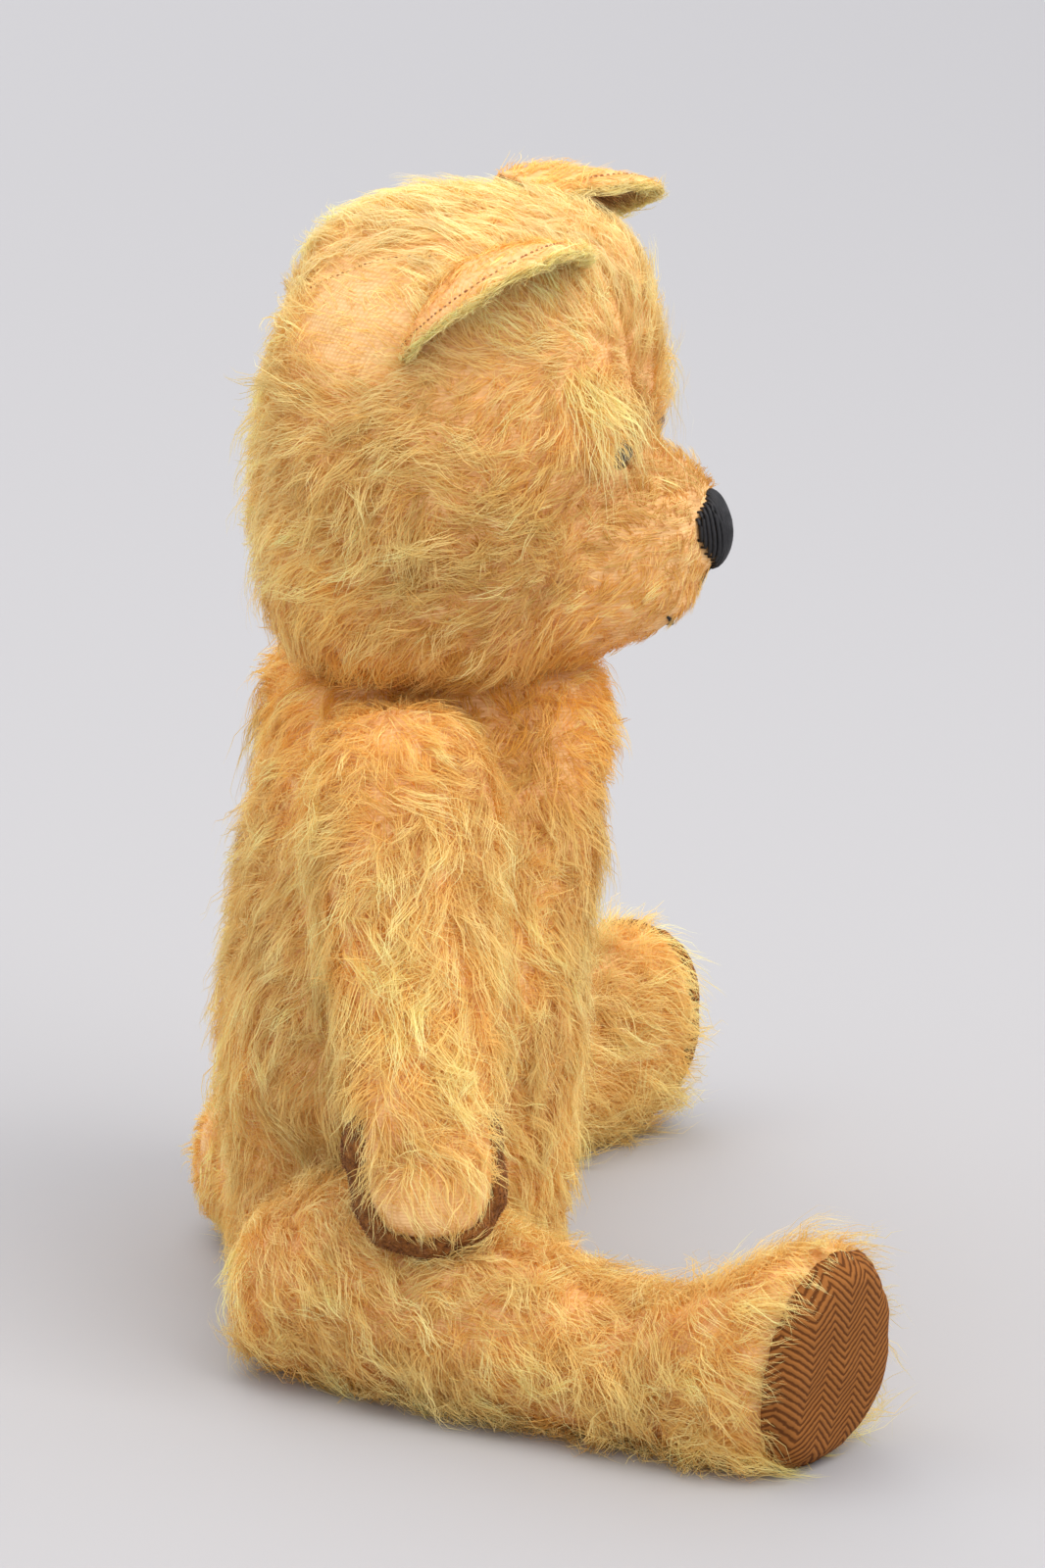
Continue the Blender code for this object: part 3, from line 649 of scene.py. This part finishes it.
def dashes(line, tree, pitch, gap, lift):
    """Short stitches along a line on a skin."""
    line = np.array(line)
    far = np.concatenate([[0], np.cumsum(np.linalg.norm(np.diff(line, axis=0), axis=1))])
    out = []
    rng = np.random.default_rng(len(line))

    def at(d):
        return np.array([np.interp(d, far, line[:, i]) for i in range(3)])

    for k in range(int(far[-1] / pitch)):
        ends = (k + rng.uniform(-0.12, 0.12)) * pitch + np.linspace(0, (pitch - gap) * rng.uniform(0.6, 1), 4)
        rise = lift * rng.uniform(0.5, 1.0) * np.array((-0.6, 1, 1, -0.6))
        out.append([on_skin(tree, at(d), r) for d, r in zip(ends, rise)])
    return out


def in_front(x, z, far):
    """The face's skin and its normal, met by going back from ahead of it at x and z in mm."""
    start, aim = head_place((x * MM, -0.12, z * MM)), head_world((0, 1.0, 0))
    return SKINS["head"]["tree"].ray_cast(Vector(start), Vector(aim), far)[:2]


def nose_outline(z, half, high):
    """Half the width at height z of a nose that is a little wider at its top, all in mm."""
    t = np.clip((z - NOSE_HEIGHT) / high, -1, 1)
    return half * (1 + 0.18 * t) * np.sqrt(1 - t * t)


def satin_nose():
    """Black stitches laid side by side down the domed end of the muzzle."""
    paths = []
    for x in np.arange(-NOSE_HALF, NOSE_HALF + 0.1, 0.8):
        path = []
        for z in np.linspace(249.5, 226.5, 24):
            if abs(x) > nose_outline(z, 8.8, 11.0):
                continue
            q, n = in_front(x, z, 0.07)
            if q:
                dome = max(0.0, 1 - (x / NOSE_HALF) ** 2 - ((z - NOSE_HEIGHT) / 11.0) ** 2)
                path.append(np.array(q + n * (0.35 + 2.4 * dome ** 0.6) * MM))
        if len(path) > 2:
            into = head_world((0, 1.4 * MM, 0))
            paths.append([path[0] + into] + path + [path[-1] + into])
    return paths


def on_muzzle(places):
    """A line just over the muzzle's skin, through the given places across and up in mm."""
    found = [in_front(x, z, 0.09) for x, z in places]
    return [np.array(q + n * 0.45 * MM) for q, n in found if q]


def ear_rim(k):
    """A line round the back of an ear, just inside its rim."""
    middle, across, up, facing, half, lean = EARS[k]
    rim = []
    for a in np.radians(np.linspace(12, 168, 40)):
        u, w = -math.cos(a) * half * 0.93, math.sin(a) * EAR_HIGH * MM * 0.93 - 8.4 * MM
        p = middle + across * (u + lean * w) + up * w - facing * 5 * MM
        rim.append(head_place(mirrored(p, k)))
    return rim


# The open seam beside the gusset, behind an ear, as on the right side in mm
GUSSET_SEAM = ((-28, 26, 307), (-32, 14, 313), (-35, 4, 318), (-36, -5, 320), (-35, -13, 319))

mouth_drop = on_muzzle([(0, z) for z in np.linspace(227.5, 211, 8)])
mouth_curve = on_muzzle([(x, 210.4 + 0.025 * x * x) for x in np.linspace(-14, 14, 19)])
thread_object("nose_stitches", satin_nose(), 0.72 * MM, THREAD, "nose")
thread_object("nose_mouth_thread", [mouth_drop], 0.75 * MM, THREAD, "nose_mouth_stitch")
thread_object("mouth_thread", [mouth_curve], 0.75 * MM, THREAD, "mouth_stitch")
for s, k in SIDES:
    stitches = dashes(ear_rim(k), SKINS["ear_" + s]["tree"], 2.1 * MM, 0.5 * MM, 0.30 * MM)
    thread_object("ear_seam_" + s, stitches, 0.28 * MM, BROWN_THREAD)
    seam = [head_place(mirrored(np.array(p) * MM, k)) for p in GUSSET_SEAM]
    stitches = dashes(seam, SKINS["head"]["tree"], 1.9 * MM, 0.6 * MM, 0.25 * MM)
    thread_object("gusset_seam_" + s, stitches, 0.25 * MM, BROWN_THREAD)


# ---------------------------------------------------------------- pile

def scattered(obj, density, rng):
    """Random places on a skin, so many to a square millimetre: place, normal, area in metres."""
    mesh = obj.data
    mesh.calc_loop_triangles()
    tris = np.zeros(len(mesh.loop_triangles) * 3, int)
    mesh.loop_triangles.foreach_get("vertices", tris)
    tris = tris.reshape(-1, 3)
    co, nv = coords(mesh), vertex_normals(mesh)
    a, b, c = (co[tris[:, i]] for i in range(3))
    area = np.linalg.norm(np.cross(b - a, c - a), axis=1) / 2
    count = int(area.sum() * density * 1e6)
    pick = rng.choice(len(tris), count, p=area / area.sum())
    u, v = rng.random((2, count))
    flip = u + v > 1
    u[flip], v[flip] = 1 - u[flip], 1 - v[flip]
    w = np.stack([1 - u - v, u, v], 1)
    place = (co[tris[pick]] * w[..., None]).sum(1)
    return place, unit((nv[tris[pick]] * w[..., None]).sum(1)), area.sum()


def locks(skin, place, normal, way, length, lift, hug, spans):
    """Walks each guide hair over the skin. Gives its points relative to its root."""
    tree = skin["tree"]
    out = np.zeros((len(place), spans + 1, 3))
    for i in range(len(place)):
        q, n = Vector(place[i]), Vector(normal[i])
        d = Vector(way[i])
        h, seg = 0.0, length[i] / spans
        for j in range(1, spans + 1):
            a = lift[i] * (1 - (j - 0.5) / spans) ** 1.3 + 0.03
            q2, n2, _, _ = tree.find_nearest(q + d * (seg * math.cos(a)))
            h += seg * math.sin(a)
            d = d - n2 * d.dot(n2)
            d.z -= 0.06
            d.normalize()
            free = q + d * (seg * math.cos(a)) + n * h
            q, n = q2, (n2 * hug[i] + n * (1 - hug[i])).normalized()
            out[i, j] = np.array((q + n * h) * hug[i] + free * (1 - hug[i])) - place[i]
    return out


PROUD = np.array((19, 14, 19)) * MM  # no hair reaches further than this past the CAD model's box
PILE_LOW = np.array(cad_low) - PROUD * (1, 1, 0)
PILE_HIGH = np.array(cad_high) + PROUD

HAIR_WIDTH = 0.22 * MM
PIECE_HAIRS = 22000  # in one object at most


def guide_hairs(skin, place, normal, st, number, seed, spans, rng):
    """One wavy hair for each lock: its root, a search tree of the roots, its points from its root."""
    guide = rng.choice(len(place), number, replace=False)
    gp, gn = place[guide], normal[guide]
    kd = KDTree(number)
    for i, p in enumerate(gp):
        kd.insert(p, i)
    kd.balance()
    way = st["way"][guide]
    side = np.cross(gn, way)
    spin = (rng.normal(size=number) * 0.7 + noise(gp, 34 * MM, seed + 5) * 0.9) * st["mess"][guide]
    way = tangent(way * np.cos(spin)[:, None] + side * np.sin(spin)[:, None], gn)
    gl = st["length"][guide] * np.exp(rng.normal(size=number) * 0.15)
    lift = st["lift"][guide] * np.exp(rng.normal(size=number) * 0.3)
    hug = np.clip(0.8 + rng.normal(size=number) * 0.15, 0.3, 1)
    shape = locks(skin, gp, gn, way, gl, lift, hug, spans)
    s = np.arange(spans + 1) / spans
    side = unit(np.cross(gn, way))
    phase = rng.uniform(0, 2 * math.pi, number)
    turns = gl / (10 * MM) * rng.uniform(0.7, 1.2, number)
    amp = st["wave"][guide] * np.minimum(gl, 18 * MM) * 0.07
    angle = phase[:, None] + 2 * math.pi * turns[:, None] * s
    swing, bob = np.sin(angle) - np.sin(phase)[:, None], np.cos(angle) - np.cos(phase)[:, None]
    shape += side[:, None] * (swing * amp[:, None] * s ** 0.5)[..., None]
    shape += gn[:, None] * (np.abs(bob) * amp[:, None] * 0.4 * s ** 0.5)[..., None]
    return gp, kd, shape


def grow(key, name, density, lock_size, style, seed, spans):
    """Covers a skin with so many hairs to a square millimetre, in locks of about a size.

    style(place, normal) gives what style_of gives. Each hair follows the guide hair of its lock,
    leans to its root, and has stray bends of its own.
    """
    skin = SKINS[key]
    rng = np.random.default_rng(seed)
    place, normal, area = scattered(skin["obj"], density, rng)
    st = style(place, normal)
    keep = rng.random(len(place)) < st["keep"]
    place, normal = place[keep], normal[keep]
    st = {k: v[keep] for k, v in st.items()}
    count = len(place)
    number = min(count, int(area / lock_size ** 2))
    gp, kd, shape = guide_hairs(skin, place, normal, st, number, seed, spans, rng)
    tint = rng.normal(size=number)
    s = np.arange(spans + 1) / spans

    # Each hair follows its own lock's guide, and a little of the next one's
    mine, other = np.zeros(count, int), np.zeros(count, int)
    for i, p in enumerate(place):
        two = kd.find_n(p, 2)
        mine[i], other[i] = two[0][1], two[1][1]
    blur = rng.random(count)[:, None, None] * 0.4
    mixed = shape[mine] * (1 - blur) + shape[other] * blur
    ratio = np.clip(np.exp(rng.normal(size=count) * 0.2), 0.5, 1.35)
    pull = (st["clump"] * rng.uniform(0.5, 1.0, count))[:, None, None] * (s ** 1.1)[None, :, None]
    pts = place[:, None] + mixed * ratio[:, None, None] + (gp[mine] - place)[:, None] * pull
    # Its own stray bends, then clear of the skin, the ground and the box
    own = unit(rng.normal(size=(2, count, 3)))
    turn = rng.uniform(0.6, 1.9, count)[:, None] * 2 * math.pi * s + rng.uniform(0, 6.3, count)[:, None]
    bend = own[0][:, None] * (np.sin(turn) - np.sin(turn[:, :1]))[..., None]
    bend += own[1][:, None] * (np.cos(turn) - np.cos(turn[:, :1]))[..., None] * 0.7
    reach = st["frizz"] * st["length"] * 0.045
    pts = pts + bend * (reach[:, None] * s ** 0.7)[..., None]
    low = ((pts - place[:, None]) * normal[:, None]).sum(2)
    pts += normal[:, None] * np.maximum(0, 0.15 * MM * (s > 0)[None] - low)[..., None]
    pts[:, :, 2] = np.maximum(pts[:, :, 2], (0.4 + 0.9 * rng.random(count))[:, None] * MM)
    pts = np.clip(pts, PILE_LOW, PILE_HIGH)

    # Colours from root to tip, alike within a lock: the darker roots are painted shade deep in the pile, the
    # paler tips a painted highlight
    verts = ribbons(pts, normal, st["thick"], rng.normal(size=count) * 0.4)
    f = s[None, :, None] ** 0.8
    colour = st["root"][:, None] * (1 - f) + st["tip"][:, None] * f
    pale = (np.clip(0.15 + 0.42 * tint[mine], 0, 0.85) * st["pale"])[:, None, None] * f
    colour = colour * (1 - pale) + PALE * pale
    light = np.exp(tint[mine] * 0.08 + rng.normal(size=count) * 0.05)
    colour = np.clip(colour * light[:, None, None], 0, 0.97)
    shade = np.ones((*verts.shape[:2], 4))
    shade[:, 0:-1:2, :3] = shade[:, 1:-1:2, :3] = colour[:, :-1]
    shade[:, -1, :3] = colour[:, -1]
    order = np.lexsort((place[:, 0], place[:, 1], (place[:, 2] / (25 * MM)).astype(int)))
    for part, first in enumerate(range(0, count, PIECE_HAIRS)):
        ids = order[first:first + PIECE_HAIRS]
        ribbon_object(f"{name}_{part + 1}", verts[ids], shade[ids], skin["body"], spans)


def ribbons(pts, normal, thick, lean):
    """Flat hairs that narrow to a point: two vertices at each place along, one at the tip."""
    along = np.gradient(pts, axis=1)
    flat = unit(np.cross(along, normal[:, None]))
    up = unit(np.cross(flat, along))
    flat = flat * np.cos(lean)[:, None, None] + up * np.sin(lean)[:, None, None]
    count, rows = pts.shape[:2]
    taper = 1 - 0.75 * (np.arange(rows) / (rows - 1)) ** 2.2
    half = HAIR_WIDTH / 2 * thick[:, None] * taper[None]
    left, right = pts - flat * half[..., None], pts + flat * half[..., None]
    verts = np.empty((count, 2 * rows - 1, 3))
    verts[:, 0:-1:2], verts[:, 1:-1:2], verts[:, -1] = left[:, :-1], right[:, :-1], pts[:, -1]
    return verts


def ribbon_object(name, verts, shade, body, spans):
    """The ribbons as one mesh, coloured at each vertex."""
    count, per = verts.shape[:2]
    base = (np.arange(count) * per)[:, None]
    quads = np.array([(2 * j, 2 * j + 1, 2 * j + 3, 2 * j + 2) for j in range(spans - 1)])
    quads = (base[:, None] + quads[None]).reshape(count, -1)
    loops = np.concatenate([quads, base + np.array((per - 3, per - 2, per - 1))], 1)
    sizes = np.array([4] * (spans - 1) + [3])
    starts = np.concatenate([[0], np.cumsum(sizes)[:-1]])
    mesh = bpy.data.meshes.new(name)
    mesh.vertices.add(count * per)
    mesh.vertices.foreach_set("co", verts.astype(np.float32).ravel())
    mesh.loops.add(loops.size)
    mesh.loops.foreach_set("vertex_index", loops.ravel().astype(np.int32))
    mesh.polygons.add(count * spans)
    mesh.polygons.foreach_set(
        "loop_start", (np.arange(count)[:, None] * sizes.sum() + starts).ravel().astype(np.int32))
    mesh.update(calc_edges=True)
    mesh.shade_smooth()
    attribute = mesh.color_attributes.new("pile", "FLOAT_COLOR", "POINT")
    attribute.data.foreach_set("color", shade.astype(np.float32).ravel())
    obj = bpy.data.objects.new(name, mesh)
    bpy.context.collection.objects.link(obj)
    mesh.materials.append(PILE)
    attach(obj, body)


# ---------------------------------------------------------------- styles of pile

# Colours of the pile: the hair's own orange and yellow, with painted shade in the darker roots and a painted
# highlight in the paler tips
LIT_TIP = np.array((0.97, 0.80, 0.32))
MID = np.array((0.90, 0.60, 0.17))
SHADED_ROOT = np.array((0.86, 0.48, 0.10))
ORANGE = np.array((0.91, 0.48, 0.05))
PALE = np.array((0.97, 0.85, 0.42))
HOLLOW_SHADE_BROWN = np.array((0.34, 0.17, 0.07))


def style_of(place, normal, way, length, root=SHADED_ROOT, tip=LIT_TIP, **given):
    """The style of each hair: which way it is combed, its length in metres, its colours, and the rest.

    lift is how far it stands up, keep its chance to be there, mess how far its lock turns from the
    way, wave and frizz how its lock and it bend, clump how far it leans to its lock, thick its
    width, and pale how pale its lock may be.
    """
    n = len(place)
    tone = step(noise(place, 60 * MM, 71) * 0.5 + noise(place, 22 * MM, 72) * 0.3, -1, 1)[:, None]
    usual = dict(lift=0.7, keep=1.0, mess=0.7, wave=1.0, clump=0.65, frizz=1.0, thick=1.0, pale=1.0)
    st = {key: np.broadcast_to(np.asarray(value, float), (n,)).copy()
          for key, value in {**usual, **given, "length": length}.items()}
    st["way"] = tangent(way, normal)
    st["root"] = np.broadcast_to(root, (n, 3)) * (0.88 + 0.24 * tone)
    st["tip"] = np.broadcast_to(tip, (n, 3)) * (0.92 + 0.16 * tone)
    return st


def torso_style(place, normal):
    """Combed down, outward at the seat, orange and raised at the neck."""
    outward = place * (1, 1, 0) - (0, TORSO_MIDDLE, 0)
    way = np.array((0, 0, -1.0)) + unit(outward) * 0.25
    seat = 1 - step(place[:, 2], 2 * MM, 16 * MM)
    way = way * (1 - seat)[:, None] + unit(outward) * seat[:, None]
    neck = step(place[:, 2], 150 * MM, 188 * MM)
    front = step(-outward[:, 1], 10 * MM, 30 * MM)
    length = (14 - 4 * neck - 6 * seat) * MM
    tip = LIT_TIP * (1 - neck)[:, None] + ORANGE * neck[:, None]
    keep = np.where(place[:, 2] < FLOOR_CLEAR, 0.0, 1.0) * np.where(place[:, 2] > 196 * MM, 0.1, 1.0)
    return style_of(place, normal, way, length, lift=0.62 + 0.3 * neck * front, keep=keep, tip=tip)


def near(q, centre, radius):
    """1 close to a place of the head's frame given in mm, mirrored to both sides, falling to 0."""
    x = np.stack([np.abs(q[:, 0]), q[:, 1], q[:, 2]], 1) / MM
    return 1 - step(np.linalg.norm(x - np.array(centre), axis=1), 0.55 * radius, radius)


EYES = bvh_of(["eye_left", "eye_right"])
MOUTH = bvh_of(["mouth_stitch", "nose_mouth_stitch"])


def head_style(place, normal):
    """Combed back from the nose, short on the snout, pale on the crown with a painted highlight, worn behind
    the ears.
    """
    q = head_local(place)
    x, y, z = q[:, 0] / MM, q[:, 1] / MM, q[:, 2] / MM
    back = unit(q - np.array((0, -86, NOSE_HEIGHT)) * MM)
    snout = step(-y, 38, 60) * (1 - step(z, 262, 280))
    crown = step(z, 270, 308)
    way = back + np.array((0, 0.2, -0.55)) * (1 - snout)[:, None] * (1 - crown)[:, None]
    low = 1 - step(z, 200, 235)
    way = way + np.array((0, 0, -0.8)) * (low * (1 - snout))[:, None]
    brow = near(q, (32, -54, 278), 17)
    way = way + np.array((0, -1.6, -1.5)) * brow[:, None]
    bridge = step(-y, 50, 66) * step(z, 238, 250) * (1 - step(z, 268, 276))
    worn = np.maximum(near(q, (46, 10, 306), 26), 0.45 * near(q, (54, -30, 284), 19))
    length = (14 - 8.0 * snout - 3 * crown - 3 * low + 2.5 * bridge) * (1 - 0.45 * worn)
    # Painted highlight: tips paler and bluer on the crown, and partly so towards the back of the head
    pale_highlight = np.maximum(crown, 0.7 * step(y, 15, 40))
    tip = LIT_TIP * (1 - pale_highlight)[:, None] + PALE * (1.0, 1.04, 1.15) * pale_highlight[:, None]
    tip = tip * (1 - 0.75 * low)[:, None] + ORANGE * (0.75 * low)[:, None]
    tip = tip * (1 - 0.4 * worn)[:, None] + ORANGE * (0.4 * worn)[:, None]
    # Painted shade: the front of the head darker and more orange
    face = (step(-y, -10, 50) * (1 - crown) * (1 - brow))[:, None]
    tip = tip * (1 - face * (0.09, 0.13, 0.22))
    keep = np.where(z < 197.5, 0.1, 1.0) * (1 - 0.72 * worn)
    nose = (y < -60) & (np.abs(x) < nose_outline(z, NOSE_HALF, 11.5))
    keep = keep * np.where(nose, 0.0, 1.0)
    keep = keep * np.where(distances(MOUTH, place, 4 * MM) < 2.2 * MM, 0.0, 1.0)
    keep = keep * np.where(distances(EYES, place, 4 * MM) < 2.0 * MM, 0.0, 1.0)
    lift = 0.75 - 0.25 * snout - 0.25 * crown + 0.5 * brow + 0.35 * bridge
    # Roots paler under the crown's painted highlight and darker under the face's painted shade
    root = (SHADED_ROOT * (1 - 0.4 * pale_highlight)[:, None] + LIT_TIP * 0.4 * pale_highlight[:, None]) * (1 - face * (0.10, 0.16, 0.25))
    return style_of(place, normal, head_world(way), length * MM, lift=lift, keep=keep,
                    mess=0.6 - 0.3 * snout - 0.2 * crown, clump=0.8 - 0.3 * snout, wave=1 - 0.7 * snout,
                    root=root, tip=tip)


def limb_style(place, normal, axis, pad, length, down, flare=0.0):
    """Combed along a limb, shorter towards its pad. With flare it spreads out over the ground."""
    ground = 1 - step(place[:, 2], 6 * MM, 26 * MM)
    length = length * (1 + 0.25 * ground * flare)
    level = unit(normal * (1, 1, 0.01))
    way = axis[None] + np.array((0, 0, -down)) + level * (1.8 * ground * flare)[:, None]
    gap = distances(pad, place, 12 * MM)
    length = length * (0.35 + 0.65 * step(gap, 2 * MM, 12 * MM))
    keep = np.where(gap < 1.4 * MM, 0.0, 1.0) * np.where(place[:, 2] < FLOOR_CLEAR, 0.0, 1.0)
    return style_of(place, normal, way, length, keep=keep)


def arm_style(side, k):
    """Long to the middle, worn off the outer end of the paw, orange at the shoulder."""
    axis = np.array((k * math.sin(ARM_LEAN), 0, -math.cos(ARM_LEAN)))
    outer = np.array((k * math.cos(ARM_LEAN), 0, math.sin(ARM_LEAN)))
    pad = tree_of(bpy.data.objects["paw_cloth_" + side])

    def style(place, normal):
        along = (place - SHOULDER * (k, 1, 1)) @ axis / MM
        length = (18 - 4 * step(along, 85, 120) - 6 * (1 - step(along, -15, 12))) * MM
        st = limb_style(place, normal, axis, pad, length, 0.2)
        st["keep"] *= 1 - 0.85 * step(along, 108, 115) * step(normal @ outer, 0.2, 0.5)
        st["clump"], st["frizz"] = st["clump"] + 0.15, st["frizz"] * 0.7
        top = 0.5 * (1 - step(along, -18, 15))[:, None]
        st["tip"] = st["tip"] * (1 - top) + ORANGE * top
        return st

    return style


def leg_style(side, k):
    """Longest at the foot, and shorter on the left leg's hip than on the right's."""
    axis = np.array((k * math.sin(LEG_SPLAY), -math.cos(LEG_SPLAY), 0))
    pad = tree_of(bpy.data.objects["sole_cloth_" + side])

    def style(place, normal):
        along = (place - HIP * (k, 1, 1)) @ axis / MM
        length = (15 + 3 * step(along, 60, 110) - (4 + 4 * k) * (1 - step(along, -16, 2))) * MM
        return limb_style(place, normal, axis, pad, length, 0.45, flare=1.0)

    return style


def ear_style(k):
    """Brown in the hollow, a painted shade, worn and orange on the back, pale along the rim."""
    up, facing = (head_world(mirrored(v, k)) for v in EARS[k][2:4])

    def style(place, normal):
        front = (normal @ facing) > 0
        height, _, edge = in_ear(place, k)
        rim = step(edge, 0.82, 0.99)
        root_end = 1 - step(height, 4, 15)
        way = up[None] + facing[None] * (0.8 * rim * ~front + 0.2 * front)[:, None]
        length = np.where(front, 7.0, 4.2 + 8 * root_end) + 3 * rim * front
        # Painted shade: the hollow's hair brown from root to tip, paler towards the rim
        tip = np.where(front[:, None], MID * 0.35 + HOLLOW_SHADE_BROWN * 0.65, MID * 0.6 + LIT_TIP * 0.4)
        root = np.where(front[:, None], HOLLOW_SHADE_BROWN * 0.8, ORANGE * 0.4 + MID * 0.6)
        pale = rim * front
        tip = tip * (1 - pale)[:, None] + PALE * (0.96, 0.95, 0.8) * pale[:, None]
        root = root * (1 - 0.8 * pale)[:, None] + MID * 0.8 * pale[:, None]
        worn = step(noise(place, 17 * MM, 31), -0.6, 0.6)
        keep = np.where(front, 1.0, 0.8 - 0.5 * worn * (1 - root_end))
        return style_of(place, normal, way, length * MM, lift=np.where(front, 0.45, 0.28), keep=keep,
                        mess=0.6, clump=0.4, wave=0.5, tip=tip, root=root, pale=np.where(front, rim, 0.5))

    return style


def fringe_style(k):
    """The longer pale hair that hangs all along an ear's rim."""
    up, facing = (head_world(mirrored(v, k)) for v in EARS[k][2:4])
    across = head_world(mirrored(EARS[k][1], k))

    def style(place, normal):
        height, reach, edge = in_ear(place, k)
        keep = np.where((normal @ facing > -0.3) & (edge > 0.84), 1.0, 0.0)
        out = unit(up[None] * (height[:, None] + EAR_SUNK) / EAR_HIGH ** 2
                   + across[None] * reach[:, None] / 30 ** 2)
        way = out * 0.8 + facing[None] * 0.9
        return style_of(place, normal, way, 10 * MM, lift=0.3, keep=keep, mess=0.45, clump=0.7, wave=0.5,
                        tip=PALE * (0.97, 0.95, 0.85), root=MID * 0.3 + PALE * 0.7, thick=1.2)

    return style


def nap_style(place, normal):
    """The short fuzz of brown wool."""
    way = np.array((0, 0, -1.0)) + noise(place, 5 * MM, 41)[:, None] * np.array((1.0, 1.0, 0))
    return style_of(place, normal, way, 1.7 * MM, lift=0.8, mess=2.5, clump=0.3, wave=0, frizz=2.0,
                    root=np.array((0.16, 0.052, 0.014)), tip=np.array((0.47, 0.205, 0.065)), pale=0.0)


def tuft_style(place, normal):
    """Long pale locks that hang down in front of each ear."""
    q = head_local(place)
    down = np.full(len(q), -1.0)
    way = head_world(np.stack([0.1 * np.sign(q[:, 0]), 0.35 * down, down], 1))
    keep = near(q, (36, -50, 288), 9)
    return style_of(place, normal, way, 29 * MM, lift=0.5, keep=keep, mess=0.35, clump=0.85, wave=1.2,
                    frizz=0.5, tip=PALE, root=LIT_TIP, thick=1.1)


def under(style):
    """The same pile's short, frizzy undercoat."""
    def coat(place, normal):
        st = style(place, normal)
        st["length"] = st["length"] * 0.62
        st["mess"] = st["mess"] * 1.6 + 0.5
        st["frizz"] = st["frizz"] * 2.4
        st["clump"] = st["clump"] * 0.35
        st["lift"] = np.minimum(st["lift"] * 1.15, 1.1)
        # Its tips take mostly the root colour, and with it the roots' painted shade
        st["tip"] = st["tip"] * 0.4 + st["root"] * 0.6
        return st
    return coat


coats = [("torso", torso_style, 100), ("head", head_style, 200)]  # and the seed of its random draws
for i, (s, k) in enumerate(SIDES):
    coats += [("arm_" + s, arm_style(s, k), 300 + i), ("leg_" + s, leg_style(s, k), 400 + i),
              ("ear_" + s, ear_style(k), 500 + i)]
for key, style, seed in coats:
    grow(key, "undercoat_" + key, 0.80, 3.0 * MM, under(style), seed, 3)
    grow(key, "pile_" + key, 0.50, 5.0 * MM, style, seed + 50, 5)
for i, (s, _) in enumerate(SIDES):
    pad = bpy.data.objects["paw_cloth_" + s]
    SKINS["paw_" + s] = dict(obj=pad, body="arm_" + s, tree=tree_of(pad))
    grow("paw_" + s, "nap_paw_" + s, 2.2, 2.0 * MM, nap_style, 700 + i, 2)
grow("head", "tufts_head", 0.6, 4.5 * MM, tuft_style, 650, 7)
for i, (s, k) in enumerate(SIDES):
    grow("ear_" + s, "fringe_ear_" + s, 3.0, 2.6 * MM, fringe_style(k), 600 + i, 4)


# ---------------------------------------------------------------- stage, light, camera

FLOOR_HALF = 30.0
floor = mesh_object("studio_floor", [(x * FLOOR_HALF, y * FLOOR_HALF, 0.0)
                                     for x, y in ((-1, -1), (1, -1), (1, 1), (-1, 1))], [(0, 1, 2, 3)])
floor.data.materials.append(principled("studio_floor", (0.405, 0.396, 0.395), 0.8)[0])
world = bpy.data.worlds.new("studio")
bpy.context.scene.world = world
world.use_nodes = True
sky = world.node_tree.nodes["Background"]
sky.inputs["Color"].default_value = (0.93, 0.94, 1.0, 1)
sky.inputs["Strength"].default_value = 1.14


def lamp(name, place, aim, size, power, colour=(1, 1, 1)):
    """A square soft light, its size in metres and its power in watts."""
    data = bpy.data.lights.new(name, "AREA")
    data.size, data.energy, data.color = size, power, colour
    obj = bpy.data.objects.new(name, data)
    bpy.context.collection.objects.link(obj)
    obj.location = place
    obj.rotation_euler = (Vector(aim) - Vector(place)).to_track_quat("-Z", "Y").to_euler()


lamp("key", (-1.1, -1.0, 1.9), (0, 0, 0.15), 1.4, 31, (1.0, 0.98, 0.95))
lamp("top", (0.3, 0.6, 2.0), (0, 0, 0.15), 1.8, 13, (1.0, 0.99, 0.97))
lamp("far", (3.1, 0.5, 2.0), (2.7, 0.3, 0), 2.0, 22)

bpy.context.scene.view_settings.view_transform = "Standard"

CAMERA_AIM = (-0.0041, -0.0056, 0.1567)
AZIMUTH, DISTANCE, HEIGHT = math.radians(-98.0), 2.105, 0.762
camera = bpy.data.cameras.new("camera")
camera.sensor_width = 36.0
camera.lens = 173.2
camera.clip_start, camera.clip_end = 0.05, 100
viewer = bpy.data.objects.new("camera", camera)
bpy.context.collection.objects.link(viewer)
bpy.context.scene.camera = viewer
stand = Vector((math.sin(AZIMUTH) * DISTANCE, TORSO_MIDDLE - math.cos(AZIMUTH) * DISTANCE, HEIGHT))
viewer.location = stand
viewer.rotation_euler = (Vector(CAMERA_AIM) - stand).to_track_quat("-Z", "Y").to_euler()

print("cad", [round(x * 1000, 1) for x in (*cad_low, *cad_high)])
